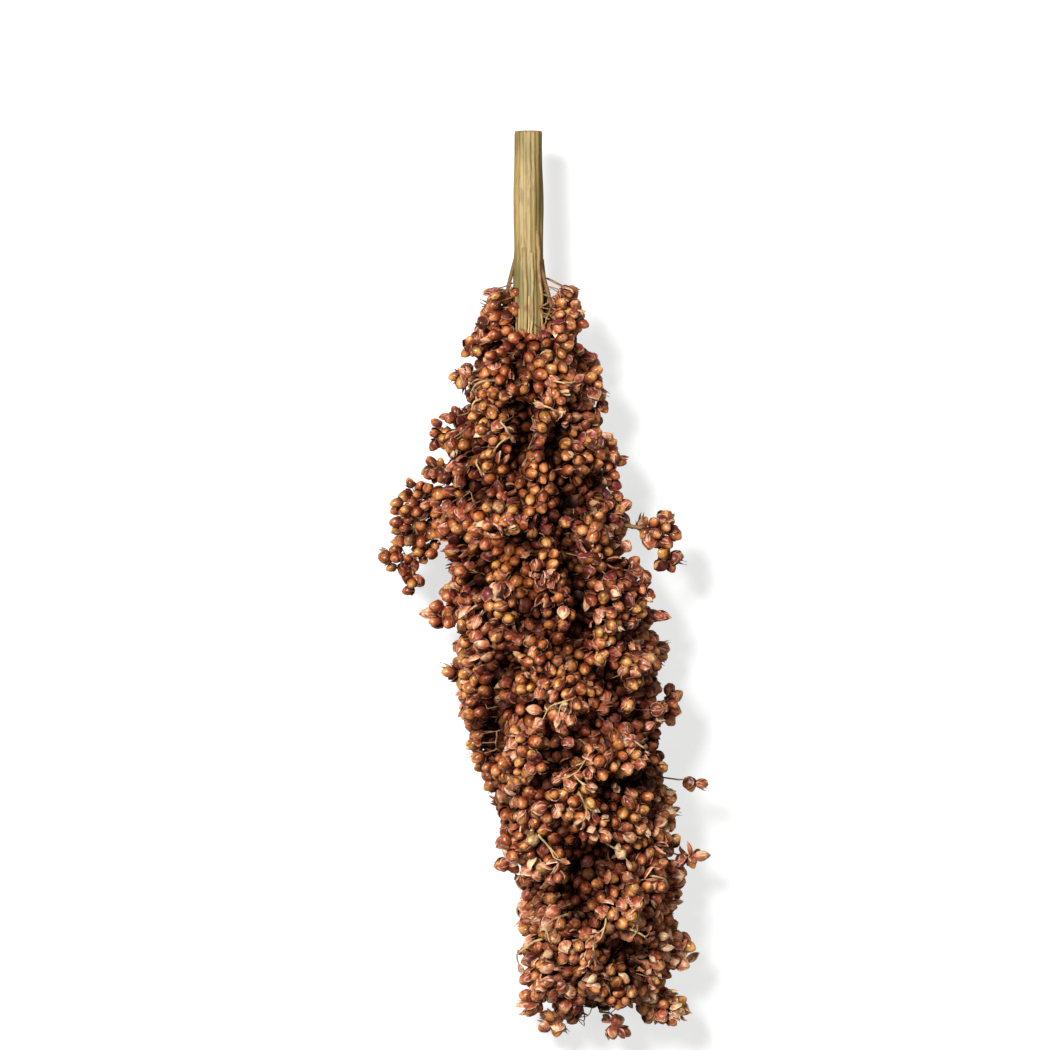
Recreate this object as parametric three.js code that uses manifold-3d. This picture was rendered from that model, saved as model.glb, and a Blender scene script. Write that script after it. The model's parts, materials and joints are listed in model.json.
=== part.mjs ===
// A dried sorghum seed head, cut with a length of its stalk and lying on a flat surface.
//
// The stalk runs on through the head as its rachis, along -Y. Whorls of branches grow from the
// rachis and lean towards the tip, so each branch is a slanted finger: a thin stem at the rachis
// that widens into a plump cluster of grains at the outside of the head. Each branch is one solid
// that holds the space of its stems, grains and husks.
//
// The frame: +Z up from the surface, +Y towards the cut end of the stalk, and the origin on the
// surface under the middle of the whole head. Millimetres and radians.
import * as THREE from "three";
import { mergeVertices } from "three/addons/utils/BufferGeometryUtils.js";
import Module from "manifold-3d";

const wasm = await Module();
wasm.setup();

// The stalk and the rachis. A distance is measured down the head from the top of its grains.
const CUT_END = -62;
const RACHIS_END = 206;
const STALK_SIDES = 12;
const STALK_BEND_STEPS = 9;
const STALK_PROFILE = [
  { at: CUT_END, radius: 4.4 },
  { at: -30, radius: 4.6 },
  { at: -8, radius: 4.9 },
  { at: 30, radius: 3.9 },
  { at: 110, radius: 2.8 },
  { at: RACHIS_END, radius: 1.3 },
];

// The head: how far its middle line leans to +X, how high that line is above the surface, and
// half the width of the head, at distances down it. It is a little lower than it is wide.
const STATIONS = [
  { at: CUT_END, lean: -1.5, height: 21, halfWidth: 8 },
  { at: -20, lean: -1.5, height: 23.5, halfWidth: 12.5 },
  { at: 0, lean: -1, height: 24.5, halfWidth: 18 },
  { at: 30, lean: -1, height: 25.5, halfWidth: 24 },
  { at: 60, lean: -1, height: 26, halfWidth: 29 },
  { at: 95, lean: 4.5, height: 26.5, halfWidth: 32 },
  { at: 130, lean: 9.5, height: 26.5, halfWidth: 33 },
  { at: 160, lean: 15, height: 25, halfWidth: 29.5 },
  { at: 190, lean: 21, height: 22.5, halfWidth: 26.5 },
  { at: 220, lean: 22.5, height: 20.5, halfWidth: 24.5 },
  { at: 239, lean: 21.5, height: 19, halfWidth: 22 },
];
const HEAD_END = 237;
const HEIGHT_SHARE = 0.9;

// The whorls of branches. A whorl's branches share the whole turn round the rachis, and leave it
// WHORL_SPACING further down than those of the whorl before. Their outer ends lie LEAN_ALONG
// further down than their roots. The first whorl has lost the branch on its upper side, which
// leaves the stalk bare there.
const FIRST_WHORL = -40;
const WHORL_SPACING = 27;
const BRANCHES_IN_WHORL = [5, 5, 6, 6, 6, 6, 6, 5, 5, 3];
const BARE_WHORL = 0;
const UPPER_SIDE = Math.PI / 2;
const LEAN_ALONG = 30;
const WHORL_TURN = 2.4;
const WHORL_WAVE = 4;
const WAVE_START = -Math.PI / 2;
const WAVE_TURN = 1.9;
const SECTOR_JITTER = 0.16;
const FULL_REACH = 1.06;
const REACH_JITTER = 0.07;
const OUTER_TILT = 0.06;
const GAP = 0.9;
const ROOT_GAP = 0.6;
const LEAST_REACH = 0.3;

// A branch's own shape: its girth as a share of its room, from its root to its outer end.
const BRANCH_SIDES = 12;
const BRANCH_PROFILE = [
  [0, 0],
  [0.17, 0.005],
  [0.22, 0.14],
  [0.58, 0.3],
  [0.88, 0.45],
  [0.98, 0.62],
  [1, 0.79],
  [0.9, 0.92],
  [0.55, 0.985],
  [0, 1],
];
const SQUARENESS = 3.4;

// The loose sprays: branch ends that reach out of the head. Each grows from the nearest branch,
// and is given by the middle of its outer end: to the side of the stalk's line, down the head and
// above the surface. Girths are half widths, and a neck is a share of its spray's girth.
const SPRAYS = [
  { side: -47, at: 60, height: 22, girth: 9, neck: 0.75 },
  { side: -51.5, at: 86, height: 15, girth: 6, neck: 0.7 },
  { side: -32, at: 99, height: 19, girth: 4.4, neck: 0.7 },
  { side: -30, at: 38, height: 24, girth: 4.6, neck: 0.7 },
  { side: -23, at: 18, height: 28, girth: 4, neck: 0.5 },
  { side: -16, at: -2, height: 29, girth: 3.4, neck: 0.5 },
  { side: 16, at: 0, height: 29, girth: 3.4, neck: 0.5 },
  { side: 46, at: 75, height: 24, girth: 6, neck: 0.26 },
  { side: 46, at: 104, height: 26, girth: 2.6, neck: 0.4 },
  { side: 47, at: 130, height: 24, girth: 4.2, neck: 0.6 },
  { side: 54, at: 153, height: 24, girth: 3, neck: 0.6 },
  { side: 58.5, at: 179, height: 22, girth: 3.4, neck: 0.8 },
  { side: 50, at: 210, height: 20, girth: 4.4, neck: 0.7 },
  { side: -9, at: 178, height: 20, girth: 3.6, neck: 0.7 },
  { side: -4, at: 209, height: 17, girth: 3.6, neck: 0.6 },
  { side: 4, at: 233, height: 14, girth: 4.8, neck: 0.6 },
  { side: 26, at: 237, height: 17, girth: 4.4, neck: 0.6 },
  { side: 47, at: 231, height: 18, girth: 4.8, neck: 0.6 },
];
const SPRAY_SIDES = 10;
const SPRAY_START = 0.7;
const SPRAY_NECK_END = 0.34;
const SPRAY_END_PROFILE = [
  [0.94, 0.52],
  [1, 0.7],
  [0.84, 0.88],
  [0.44, 0.98],
  [0, 1],
];

const FLOOR_THICKNESS = 60;
const FLOOR_SIZE = 600;

const COLOURS = { stalk: "#a08a4a", upper: "#a4622c", lower: "#9a5238" };

/** A smooth line through values given at increasing distances. */
function smoothLine(rows, key) {
  const line = new THREE.CubicInterpolant(
    rows.map((row) => row.at),
    rows.map((row) => row[key]),
    1,
    new Float32Array(1),
  );
  return (at) => line.evaluate(at)[0];
}

const leanAt = smoothLine(STATIONS, "lean");
const heightAt = smoothLine(STATIONS, "height");
const halfWidthAt = smoothLine(STATIONS, "halfWidth");
const stalkRadiusAt = smoothLine(STALK_PROFILE, "radius");

/** An even scatter of values from -1 to 1, one for each whole number. */
function scatter(n) {
  const golden = 0.6180339887;
  return 2 * ((n * golden + 0.37) % 1) - 1;
}

/** The point at a distance down the head, a turn round it, and out from the rachis (0) to the
 * surface of the head (1) or past it. */
function pointInHead(at, turn, out) {
  const root = stalkRadiusAt(THREE.MathUtils.clamp(at, CUT_END, RACHIS_END)) + ROOT_GAP;
  const width = THREE.MathUtils.lerp(root, halfWidthAt(at), out);
  const height = THREE.MathUtils.lerp(root, halfWidthAt(at) * HEIGHT_SHARE, out);
  return new THREE.Vector3(
    leanAt(at) + width * Math.cos(turn),
    -at,
    heightAt(at) + height * Math.sin(turn),
  );
}

/** Moves each vertex of a geometry to where a function of its own place says. */
function warped(geometry, move) {
  const places = geometry.attributes.position;
  for (let i = 0; i < places.count; i++) {
    const moved = move(new THREE.Vector3().fromBufferAttribute(places, i));
    places.setXYZ(i, moved.x, moved.y, moved.z);
  }
  return geometry;
}

/** A closed shape of revolution about Y, one unit long, from rows of radius and height. */
function turnedShape(profile, sides) {
  return new THREE.LatheGeometry(
    profile.map(([radius, height]) => new THREE.Vector2(radius, height)),
    sides,
  );
}

/** A closed three.js geometry as a solid that can be joined and cut. */
function solidOf(geometry) {
  geometry.deleteAttribute("normal");
  geometry.deleteAttribute("uv");
  const merged = mergeVertices(geometry, 1e-3);
  return new wasm.Manifold(
    new wasm.Mesh({
      numProp: 3,
      vertProperties: new Float32Array(merged.attributes.position.array),
      triVerts: new Uint32Array(merged.index.array),
    }),
  );
}

/** A solid as a three.js geometry. */
function geometryOf(solid) {
  const mesh = solid.getMesh();
  return new THREE.BufferGeometry()
    .setAttribute("position", new THREE.BufferAttribute(mesh.vertProperties, 3))
    .setIndex(new THREE.BufferAttribute(mesh.triVerts, 1));
}

/** The turn at which one branch of a whorl ends and the next one starts. */
function sectorEdge(whorl, index) {
  const count = BRANCHES_IN_WHORL[whorl];
  const even = index + SECTOR_JITTER * scatter(11 * whorl + (index % count));
  return whorl * WHORL_TURN + (even / count) * 2 * Math.PI;
}

/** How far down the rachis a whorl's room starts, which waves gently round it. */
function whorlEdge(whorl, turn) {
  const wave = Math.sin(2 * turn + WAVE_START + WAVE_TURN * whorl);
  return FIRST_WHORL + WHORL_SPACING * whorl + WHORL_WAVE * wave;
}

/** How far out a whorl's branches reach: less where the head ends before their full length. */
function whorlReach(whorl) {
  const room = HEAD_END - FIRST_WHORL - WHORL_SPACING * (whorl + 1);
  return THREE.MathUtils.clamp(room / LEAN_ALONG, LEAST_REACH, FULL_REACH);
}

/** The room of one branch: its turns round the rachis, and its reach. */
function roomOf(whorl, index) {
  const start = sectorEdge(whorl, index);
  const end = sectorEdge(whorl, index + 1);
  const reach = whorlReach(whorl) * (1 + REACH_JITTER * scatter(5 * whorl + 3 * index));
  return { whorl, index, start, end, middle: (start + end) / 2, reach };
}

/** The point at shares of a branch's room: across the turn, along the head, and outwards. */
function pointInRoom(room, across, along, out) {
  const widest = (room.end - room.start) / 2;
  const roughAt = whorlEdge(room.whorl, room.middle) + LEAN_ALONG * out;
  const gapTurn = GAP / 2 / (stalkRadiusAt(0) + (halfWidthAt(roughAt) - stalkRadiusAt(0)) * out);
  const turn = room.middle + across * Math.max(widest - gapTurn, widest / 2);
  const low = whorlEdge(room.whorl, turn);
  const high = whorlEdge(room.whorl + 1, turn);
  const root = (low + high) / 2 + along * ((high - low) / 2 - GAP);
  return pointInHead(root + LEAN_ALONG * out, turn, out);
}

/** A round cross-section drawn out towards a square, so that it fills its room better. */
function squared(x, z) {
  const size = Math.hypot(x, z);
  if (size === 0) return [0, 0];
  const fuller = (share) => Math.sign(share) * Math.abs(share) ** (2 / SQUARENESS);
  return [size * fuller(x / size), size * fuller(z / size)];
}

/** The cluster of one branch, as a solid that fills its room. */
function clusterSolid(room) {
  const shape = turnedShape(BRANCH_PROFILE, BRANCH_SIDES);
  return solidOf(
    warped(shape, ({ x, y, z }) => {
      const [across, along] = squared(z, x);
      const out = y * room.reach * (1 + OUTER_TILT * along * y);
      return pointInRoom(room, across, along, out);
    }),
  );
}

/** A loose spray of a branch, as a solid that starts inside the branch's cluster. */
function spraySolid(room, spray) {
  const start = pointInRoom(room, 0, 0, SPRAY_START * room.reach);
  const path = new THREE.LineCurve3(start, spray.end);
  const neck = [[0, 0], [spray.neck, 0.02], [spray.neck, SPRAY_NECK_END]];
  const shape = turnedShape([...neck, ...SPRAY_END_PROFILE], SPRAY_SIDES);
  const up = new THREE.Vector3(0, 0, 1);
  return solidOf(
    warped(shape, ({ x, y, z }) => {
      const share = THREE.MathUtils.clamp(y, 0, 1);
      const forward = path.getTangentAt(share);
      const side = new THREE.Vector3().crossVectors(forward, up).normalize();
      const over = new THREE.Vector3().crossVectors(side, forward);
      return path
        .getPointAt(share)
        .addScaledVector(side, x * spray.girth)
        .addScaledVector(over, z * spray.girth);
    }),
  );
}

/** Whether a turn, taken round the circle as often as needed, falls in a room. */
function holdsTurn(room, turn) {
  const circle = 2 * Math.PI;
  const past = (((turn - room.start) % circle) + circle) % circle;
  return past < room.end - room.start;
}

/** The ground below the surface that the head lies on, which flattens its underside. */
function groundSolid() {
  const ground = new THREE.BoxGeometry(FLOOR_SIZE, FLOOR_SIZE, FLOOR_THICKNESS);
  return solidOf(ground.translate(0, 0, -FLOOR_THICKNESS / 2));
}

/** The stalk and the rachis in one piece, bent along the head's middle line. */
function stalkMesh() {
  const long = RACHIS_END - CUT_END;
  const along = Array.from(
    { length: STALK_BEND_STEPS + 1 },
    (_, step) => CUT_END + (step / STALK_BEND_STEPS) * long,
  );
  const profile = [[0, CUT_END], ...along.map((at) => [stalkRadiusAt(at), at]), [0, RACHIS_END]];
  const geometry = warped(
    turnedShape(profile, STALK_SIDES),
    ({ x, y, z }) => new THREE.Vector3(leanAt(y) + z, -y, heightAt(y) + x),
  );
  const mesh = new THREE.Mesh(
    geometryOf(solidOf(geometry)),
    new THREE.MeshStandardMaterial({ color: COLOURS.stalk, roughness: 0.75, metalness: 0 }),
  );
  mesh.name = "stalk";
  return mesh;
}

/** One branch with its grains, and with any loose sprays that grow from it. */
function branchMesh(room, sprays, ground) {
  const solid = sprays
    .reduce((made, spray) => made.add(spraySolid(room, spray)), clusterSolid(room))
    .subtract(ground);
  const colour = room.whorl < BRANCHES_IN_WHORL.length / 2 ? COLOURS.upper : COLOURS.lower;
  const mesh = new THREE.Mesh(
    geometryOf(solid),
    new THREE.MeshStandardMaterial({ color: colour, roughness: 0.5, metalness: 0 }),
  );
  mesh.name = `whorl_${room.whorl + 1}_branch_${room.index + 1}`;
  return mesh;
}

/** The rooms of all the branches, without the lost one. */
function branchRooms() {
  return BRANCHES_IN_WHORL.flatMap((count, whorl) =>
    Array.from({ length: count }, (_, index) => roomOf(whorl, index)),
  ).filter((room) => room.whorl !== BARE_WHORL || !holdsTurn(room, UPPER_SIDE));
}

/** The loose sprays, each with the point it ends at and the room of the branch it grows from. */
function placedSprays(rooms) {
  return SPRAYS.map((spray) => {
    const end = new THREE.Vector3(spray.side, -spray.at, spray.height);
    const distance = (room) => pointInRoom(room, 0, 0, room.reach).distanceTo(end);
    const room = rooms.reduce((best, next) => (distance(next) < distance(best) ? next : best));
    return { ...spray, end, room };
  });
}

/** The whole head, moved so that the origin is under its middle. */
function seedHead() {
  const ground = groundSolid();
  const rooms = branchRooms();
  const sprays = placedSprays(rooms);
  const head = new THREE.Group();
  head.add(stalkMesh());
  for (const room of rooms) {
    const own = sprays.filter((spray) => spray.room === room);
    head.add(branchMesh(room, own, ground));
  }
  const box = new THREE.Box3().setFromObject(head);
  const middle = box.getCenter(new THREE.Vector3());
  head.position.set(-middle.x, -middle.y, -box.min.z);
  return head;
}

export default seedHead();
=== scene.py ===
"""The looks of a dried sorghum seed head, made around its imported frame.

The frame gives the stalk and the space of each branch of the head. Each branch is filled with
spikelets, which are grains in their husks, and with the forked stems that hold them. The stalk
gets its ribs, its branch scars and its cut end. Lengths are in metres, and the head lies along Y
with its tip towards -Y.
"""

import json
import logging
import math
from dataclasses import dataclass, replace
from enum import IntEnum
from itertools import product
from typing import Any, Callable

import bpy
import numpy as np
from mathutils import Euler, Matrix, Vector
from mathutils.bvhtree import BVHTree

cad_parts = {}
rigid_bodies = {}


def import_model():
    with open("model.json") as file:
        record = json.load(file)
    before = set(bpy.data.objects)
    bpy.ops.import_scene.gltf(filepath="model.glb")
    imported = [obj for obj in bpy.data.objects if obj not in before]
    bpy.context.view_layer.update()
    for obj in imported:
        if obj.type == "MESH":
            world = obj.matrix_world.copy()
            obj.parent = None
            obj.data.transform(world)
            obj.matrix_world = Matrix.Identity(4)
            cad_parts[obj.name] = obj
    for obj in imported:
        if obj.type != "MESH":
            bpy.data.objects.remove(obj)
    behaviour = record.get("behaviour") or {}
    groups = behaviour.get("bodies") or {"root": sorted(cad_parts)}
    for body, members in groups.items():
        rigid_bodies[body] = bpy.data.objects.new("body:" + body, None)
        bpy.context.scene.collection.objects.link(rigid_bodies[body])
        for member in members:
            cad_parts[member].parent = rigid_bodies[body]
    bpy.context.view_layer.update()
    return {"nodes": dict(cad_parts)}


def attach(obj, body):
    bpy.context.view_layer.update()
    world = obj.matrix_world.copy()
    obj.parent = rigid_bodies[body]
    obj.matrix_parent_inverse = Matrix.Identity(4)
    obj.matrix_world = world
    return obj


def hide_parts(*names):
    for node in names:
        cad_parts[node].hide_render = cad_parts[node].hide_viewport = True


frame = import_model()

LOG = logging.getLogger("sorghum")
MM = 0.001
SEED = 41
BARE_STALK = 62 * MM  # the length of stalk above the first grains
PATTERN_MAP = "UVMap"
BAKE_MAP = "OFBake"
UP = Vector((0, 0, 1))
TIPWARD = Vector((0, -1, 0))
THICK = 1.1 * MM  # the radius from which a stem has the finish of a thick one


def add_object(name: str, data: Any) -> bpy.types.Object:
    """Adds an object with that data to the scene."""
    made = bpy.data.objects.new(name, data)
    bpy.context.scene.collection.objects.link(made)
    return made


def keep(piece: bpy.types.Object, node: str) -> None:
    """Ties a finished piece to the frame's body, and hides the node that it replaces."""
    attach(piece, "root")
    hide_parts(node)
    LOG.info("%s: %d faces", piece.name, len(piece.data.polygons))


def way_round(turn: float) -> Vector:
    """The direction across the head at a turn from +X towards +Z."""
    return Vector((math.cos(turn), 0, math.sin(turn)))


def clipped(value: float) -> float:
    """The value, held between 0 and 1."""
    return float(np.clip(value, 0, 1))


# --- Node trees -------------------------------------------------------------------------------


def _operator(operation: str) -> Callable[["Value", Any], "Value"]:
    """A method of Value that adds a Math node of that operation."""

    def method(self: "Value", other: "Value | float") -> "Value":
        """Self and the other, under the operation."""
        return self.math(operation, self, other)

    return method


class Value:
    """A number socket in a node tree, on which arithmetic adds Math nodes."""

    def __init__(self, tree: "Tree", socket: bpy.types.NodeSocket) -> None:
        """Wraps a socket of a tree."""
        self.tree = tree
        self.socket = socket

    def math(self, operation: str, *terms: "Value | float") -> "Value":
        """Adds a Math node of that operation, with its values in order, and gives its result."""
        node = self.tree.add("ShaderNodeMath", {"operation": operation}, dict(enumerate(terms)))
        return Value(self.tree, node.outputs[0])

    __add__ = __radd__ = _operator("ADD")
    __sub__ = _operator("SUBTRACT")
    __mul__ = _operator("MULTIPLY")
    __truediv__ = _operator("DIVIDE")
    __mod__ = _operator("FLOORED_MODULO")
    __pow__ = _operator("POWER")

    def __abs__(self) -> "Value":
        """abs(self)."""
        return self.math("ABSOLUTE", self)

    def floor(self) -> "Value":
        """The whole number below self."""
        return self.math("FLOOR", self)

    def rise(self, low: float, high: float) -> "Value":
        """A soft step from 0 at low to 1 at high, which may be under low."""
        settings = {"interpolation_type": "SMOOTHSTEP"}
        inputs = {"Value": self, "From Min": low, "From Max": high}
        node = self.tree.add("ShaderNodeMapRange", settings, inputs)
        return Value(self.tree, node.outputs["Result"])


class Tree:
    """A node tree that is being built."""

    def __init__(self, nodes: bpy.types.NodeTree) -> None:
        """Starts with an empty tree."""
        self.nodes = nodes
        nodes.nodes.clear()

    def add(
        self,
        kind: str,
        settings: dict[str, Any] | None = None,
        inputs: dict[Any, Any] | None = None,
    ) -> bpy.types.Node:
        """Adds a node.

        Args:
            kind: The node's type.
            settings: Its properties, which are set first. The stops of a ramp are given as
                "stops", a list of places and colours.
            inputs: A value, a Value or another node's socket for each of its sockets.

        Returns:
            The node.
        """
        node = self.nodes.nodes.new(kind)
        for name, setting in (settings or {}).items():
            if name == "stops":
                self._set_stops(node.color_ramp.elements, setting)
            else:
                setattr(node, name, setting)
        for name, given in (inputs or {}).items():
            source = given.socket if isinstance(given, Value) else given
            if isinstance(source, bpy.types.NodeSocket):
                self.nodes.links.new(source, node.inputs[name])
            else:
                node.inputs[name].default_value = source
        return node

    @staticmethod
    def _set_stops(elements: Any, stops: list[tuple[float, tuple]]) -> None:
        """Gives a ramp its stops."""
        while len(elements) < len(stops):
            elements.new(1.0)
        for element, (place, colour) in zip(elements, stops):
            element.position = place
            element.color = (*colour, 1)

    def value(self, kind: str, output: Any = 0, **parts: dict[Any, Any]) -> Value:
        """Adds a node, and gives one of its outputs to do arithmetic on."""
        return Value(self, self.add(kind, **parts).outputs[output])


class Shader(Tree):
    """The node tree of a material, with the nodes that these finishes share."""

    APART = 97  # how far apart in the noise the shapes lie whose tints differ by 1
    FALLS = (0.0, 0.5, 0.7)  # how much more of the red, green and blue is lost in the shade

    def __init__(self, name: str) -> None:
        """Starts an empty material of that name."""
        self.material = bpy.data.materials.new(name)
        self.material.use_nodes = True
        super().__init__(self.material.node_tree)
        self.places = self.add("ShaderNodeTexCoord").outputs["Object"]
        pattern = self.add("ShaderNodeUVMap", {"uv_map": PATTERN_MAP})
        parts = self.add("ShaderNodeSeparateXYZ", inputs={"Vector": pattern.outputs["UV"]})
        self.around = Value(self, parts.outputs["X"])
        self.along = Value(self, parts.outputs["Y"])

    def own(self, name: str) -> Value:
        """The value that a piece's own attribute holds."""
        return self.value("ShaderNodeAttribute", "Fac", settings={"attribute_name": name})

    def noise(self, size: float, detail: float = 2, stretch: tuple = (1, 1, 1)) -> Value:
        """Noise from 0 to 1 over the object.

        Args:
            size: How large its patches are, in metres.
            detail: How many finer layers it has.
            stretch: How many times closer it is along each axis.

        Returns:
            The noise.
        """
        mapped = {"Vector": self.places, "Scale": stretch}
        scaled = self.add("ShaderNodeMapping", {"vector_type": "POINT"}, mapped)
        inputs = {"Vector": scaled.outputs[0], "Scale": 1 / size, "Detail": detail}
        return self.value("ShaderNodeTexNoise", "Fac", inputs=inputs)

    def fibres(self, across: float, along: float) -> Value:
        """Noise from 0 to 1 that runs in fibres along a shape, and differs on each.

        Args:
            across: How many fibres lie across the shape.
            along: How many times they change along it.

        Returns:
            The noise.
        """
        parts = (self.around * across, self.along * along, self.own("tint") * self.APART)
        spot = self.add("ShaderNodeCombineXYZ", inputs=dict(enumerate(parts)))
        inputs = {"Vector": spot.outputs[0], "Scale": 1.0, "Detail": 1.5}
        return self.value("ShaderNodeTexNoise", "Fac", inputs=inputs)

    def ramp(self, factor: Value, stops: list[tuple[float, tuple]]) -> bpy.types.NodeSocket:
        """A colour along a ramp of stops."""
        return self.add("ShaderNodeValToRGB", {"stops": stops}, {"Fac": factor}).outputs["Color"]

    def mixed(self, factor: Any, first: Any, second: Any, way: str = "MIX") -> Any:
        """One colour mixed with another.

        Args:
            factor: The share of the second colour.
            first: A colour or a colour socket.
            second: The same.
            way: How they blend.

        Returns:
            The mixed colour's socket.
        """
        inputs = {0: factor, 6: self._colour(first), 7: self._colour(second)}
        settings = {"data_type": "RGBA", "blend_type": way}
        return self.add("ShaderNodeMix", settings, inputs).outputs[2]

    def layered(self, colour: Any, *layers: tuple[Value, tuple]) -> Any:
        """A colour with others laid over it, each by its share."""
        for share, other in layers:
            colour = self.mixed(share, colour, other)
        return colour

    @staticmethod
    def _colour(given: Any) -> Any:
        """A colour with its alpha, or a socket as it is."""
        return (*given, 1) if isinstance(given, tuple) else given

    def dimmed(self, colour: Any, level: Value) -> Any:
        """A colour times a level."""
        return self._times(colour, [level] * 3)

    def shaded(self, colour: Any, level: Value) -> Any:
        """A colour times a level, with painted shade: deeper and redder the less light its piece is
        given.
        """
        light = self.own("light")
        parts = [level * light * (1 - fall + light * fall) for fall in self.FALLS]
        return self._times(colour, parts)

    def _times(self, colour: Any, parts: list[Value]) -> Any:
        """A colour whose red, green and blue are each times a level."""
        levels = self.add("ShaderNodeCombineColor", inputs=dict(enumerate(parts)))
        return self.mixed(1.0, colour, levels.outputs[0], "MULTIPLY")

    def finish(self, height: Value, relief: float, **sockets: Any) -> bpy.types.Material:
        """Ends the material in a shader whose surface is raised by a height.

        Args:
            height: The height, from 0 to 1.
            relief: How high 1 is, in metres.
            sockets: What each of the shader's sockets gets, with _ for a space.

        Returns:
            The material.
        """
        bump_inputs = {"Height": height, "Distance": relief, "Strength": 1.0}
        bump = self.add("ShaderNodeBump", inputs=bump_inputs)
        inputs = {name.replace("_", " "): given for name, given in sockets.items()}
        inputs["Normal"] = bump.outputs["Normal"]
        surface = self.add("ShaderNodeBsdfPrincipled", inputs=inputs)
        self.add("ShaderNodeOutputMaterial", inputs={"Surface": surface.outputs["BSDF"]})
        return self.material


# --- Finishes ---------------------------------------------------------------------------------


@dataclass(frozen=True)
class GrainFinish:
    """The waxy skin of the grains: ochre to brick brown, with a dark mark at the apex, painted
    shade at the base and a painted highlight towards the apex.
    """

    colours: tuple = (
        (0.0, (0.66, 0.31, 0.065)),
        (0.25, (0.60, 0.19, 0.028)),
        (0.55, (0.44, 0.080, 0.014)),
        (1.0, (0.18, 0.024, 0.007)),
    )
    unripe: tuple = (0.60, 0.47, 0.22)
    ochre: tuple = (0.62, 0.35, 0.06)
    red: tuple = (0.44, 0.05, 0.018)
    # painted shade: the dark base of each grain, where its husks hold it
    painted_shade_cup: tuple = (0.08, 0.012, 0.005)
    # painted highlight: the pale orange of each grain's upper part, towards its apex
    painted_highlight_crown: tuple = (0.80, 0.41, 0.16)
    rust: tuple = (0.23, 0.035, 0.009)
    mark: tuple = (0.03, 0.01, 0.007)
    hue_turns: float = 61
    mottle_size: float = 1.2 * MM
    rust_size: float = 2.1 * MM
    dent_size: float = 1.1 * MM
    dent_height: float = 0.3 * MM

    def material(self) -> bpy.types.Material:
        """Builds the material."""
        shader = Shader("grain_skin")
        mottle = shader.noise(self.mottle_size, 3)
        spread = mottle - 0.5
        hue = (shader.own("tint") * self.hue_turns) % 1
        skin = shader.layered(
            shader.ramp(shader.own("tint") + spread * 0.7, list(self.colours)),
            (shader.own("pale"), self.unripe),
            (hue.rise(0.6, 0.85) * 0.55, self.ochre),
            (hue.rise(0.4, 0.15) * 0.5, self.red),
            # painted highlight towards each grain's apex
            ((shader.along + spread * 1.1).rise(0.5, 0.88) * 0.5, self.painted_highlight_crown),
            (shader.noise(self.rust_size, 2).rise(0.53, 0.60) * 0.75, self.rust),
            # painted shade over the base of each grain
            ((shader.along + spread * 0.35).rise(0.78, 0.34) * 0.9, self.painted_shade_cup),
        )
        # painted shade: darker and redder on grains that lie deep in the head
        skin = shader.shaded(skin, 0.7 + mottle * 0.6)
        apex = (shader.along + spread * 0.08).rise(0.93, 0.975)
        skin = shader.mixed(apex * 0.6, skin, self.mark)
        return shader.finish(
            shader.noise(self.dent_size, 2),
            self.dent_height,
            Base_Color=skin,
            Roughness=0.45 + mottle * 0.3,
            Specular_IOR_Level=0.12,
            # painted shade also takes the coat's gloss off the deep grains
            Coat_Weight=shader.own("light") * (0.5 + mottle * 0.6),
            Coat_Roughness=0.3,
        )


@dataclass(frozen=True)
class HuskFinish:
    """The papery glumes: maroon to pink and straw, veined along, with pale thin margins that are
    partly a painted highlight along their edges, and painted shade deep in the head.
    """

    colours: tuple = (
        (0.0, (0.06, 0.009, 0.003)),
        (0.25, (0.15, 0.024, 0.008)),
        (0.5, (0.36, 0.075, 0.03)),
        (0.75, (0.56, 0.20, 0.10)),
        (1.0, (0.70, 0.50, 0.27)),
    )
    purple: tuple = (0.17, 0.018, 0.03)
    # the pale colour of the husks' margins and streaks, laid on their edges partly as a painted
    # highlight
    pale_margin_and_glint: tuple = (0.84, 0.58, 0.38)
    veins: float = 9
    vein_changes: float = 1.3
    patch_size: float = 1.5 * MM
    purple_size: float = 5 * MM
    vein_height: float = 0.09 * MM

    def material(self) -> bpy.types.Material:
        """Builds the material."""
        shader = Shader("husk_paper")
        patches = shader.noise(self.patch_size, 3)
        veins = shader.fibres(self.veins, self.vein_changes)
        spread = patches - 0.5
        side = abs(shader.around - 0.5) * 2
        edge = (side + (shader.along ** 5) * 0.35 + spread * 0.5).rise(0.86, 1.0)
        tone = shader.own("tint") + spread * 0.9 + (shader.along - 0.5) * 0.5
        paper = shader.layered(
            shader.ramp(tone, list(self.colours)),
            (shader.noise(self.purple_size, 1).rise(0.55, 0.64) * 0.6, self.purple),
            # pale margins along the edges, partly real and partly a painted highlight
            (edge * (0.35 + shader.own("tint") * 0.6), self.pale_margin_and_glint),
            (veins.rise(0.54, 0.66) * (shader.own("tint") * 0.8 + spread * 0.6), self.pale_margin_and_glint),
        )
        # painted shade: darker and redder on husks that lie deep in the head
        paper = shader.shaded(paper, (0.5 + veins) * (0.65 + patches * 0.7))
        return shader.finish(
            veins,
            self.vein_height,
            Base_Color=paper,
            Roughness=0.45 + patches * 0.3,
            Specular_IOR_Level=0.12,
            # painted shade also takes the coat's gloss off the deep husks
            Coat_Weight=shader.own("light") * (0.15 + patches * 0.6),
            Coat_Roughness=0.34,
        )


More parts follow.
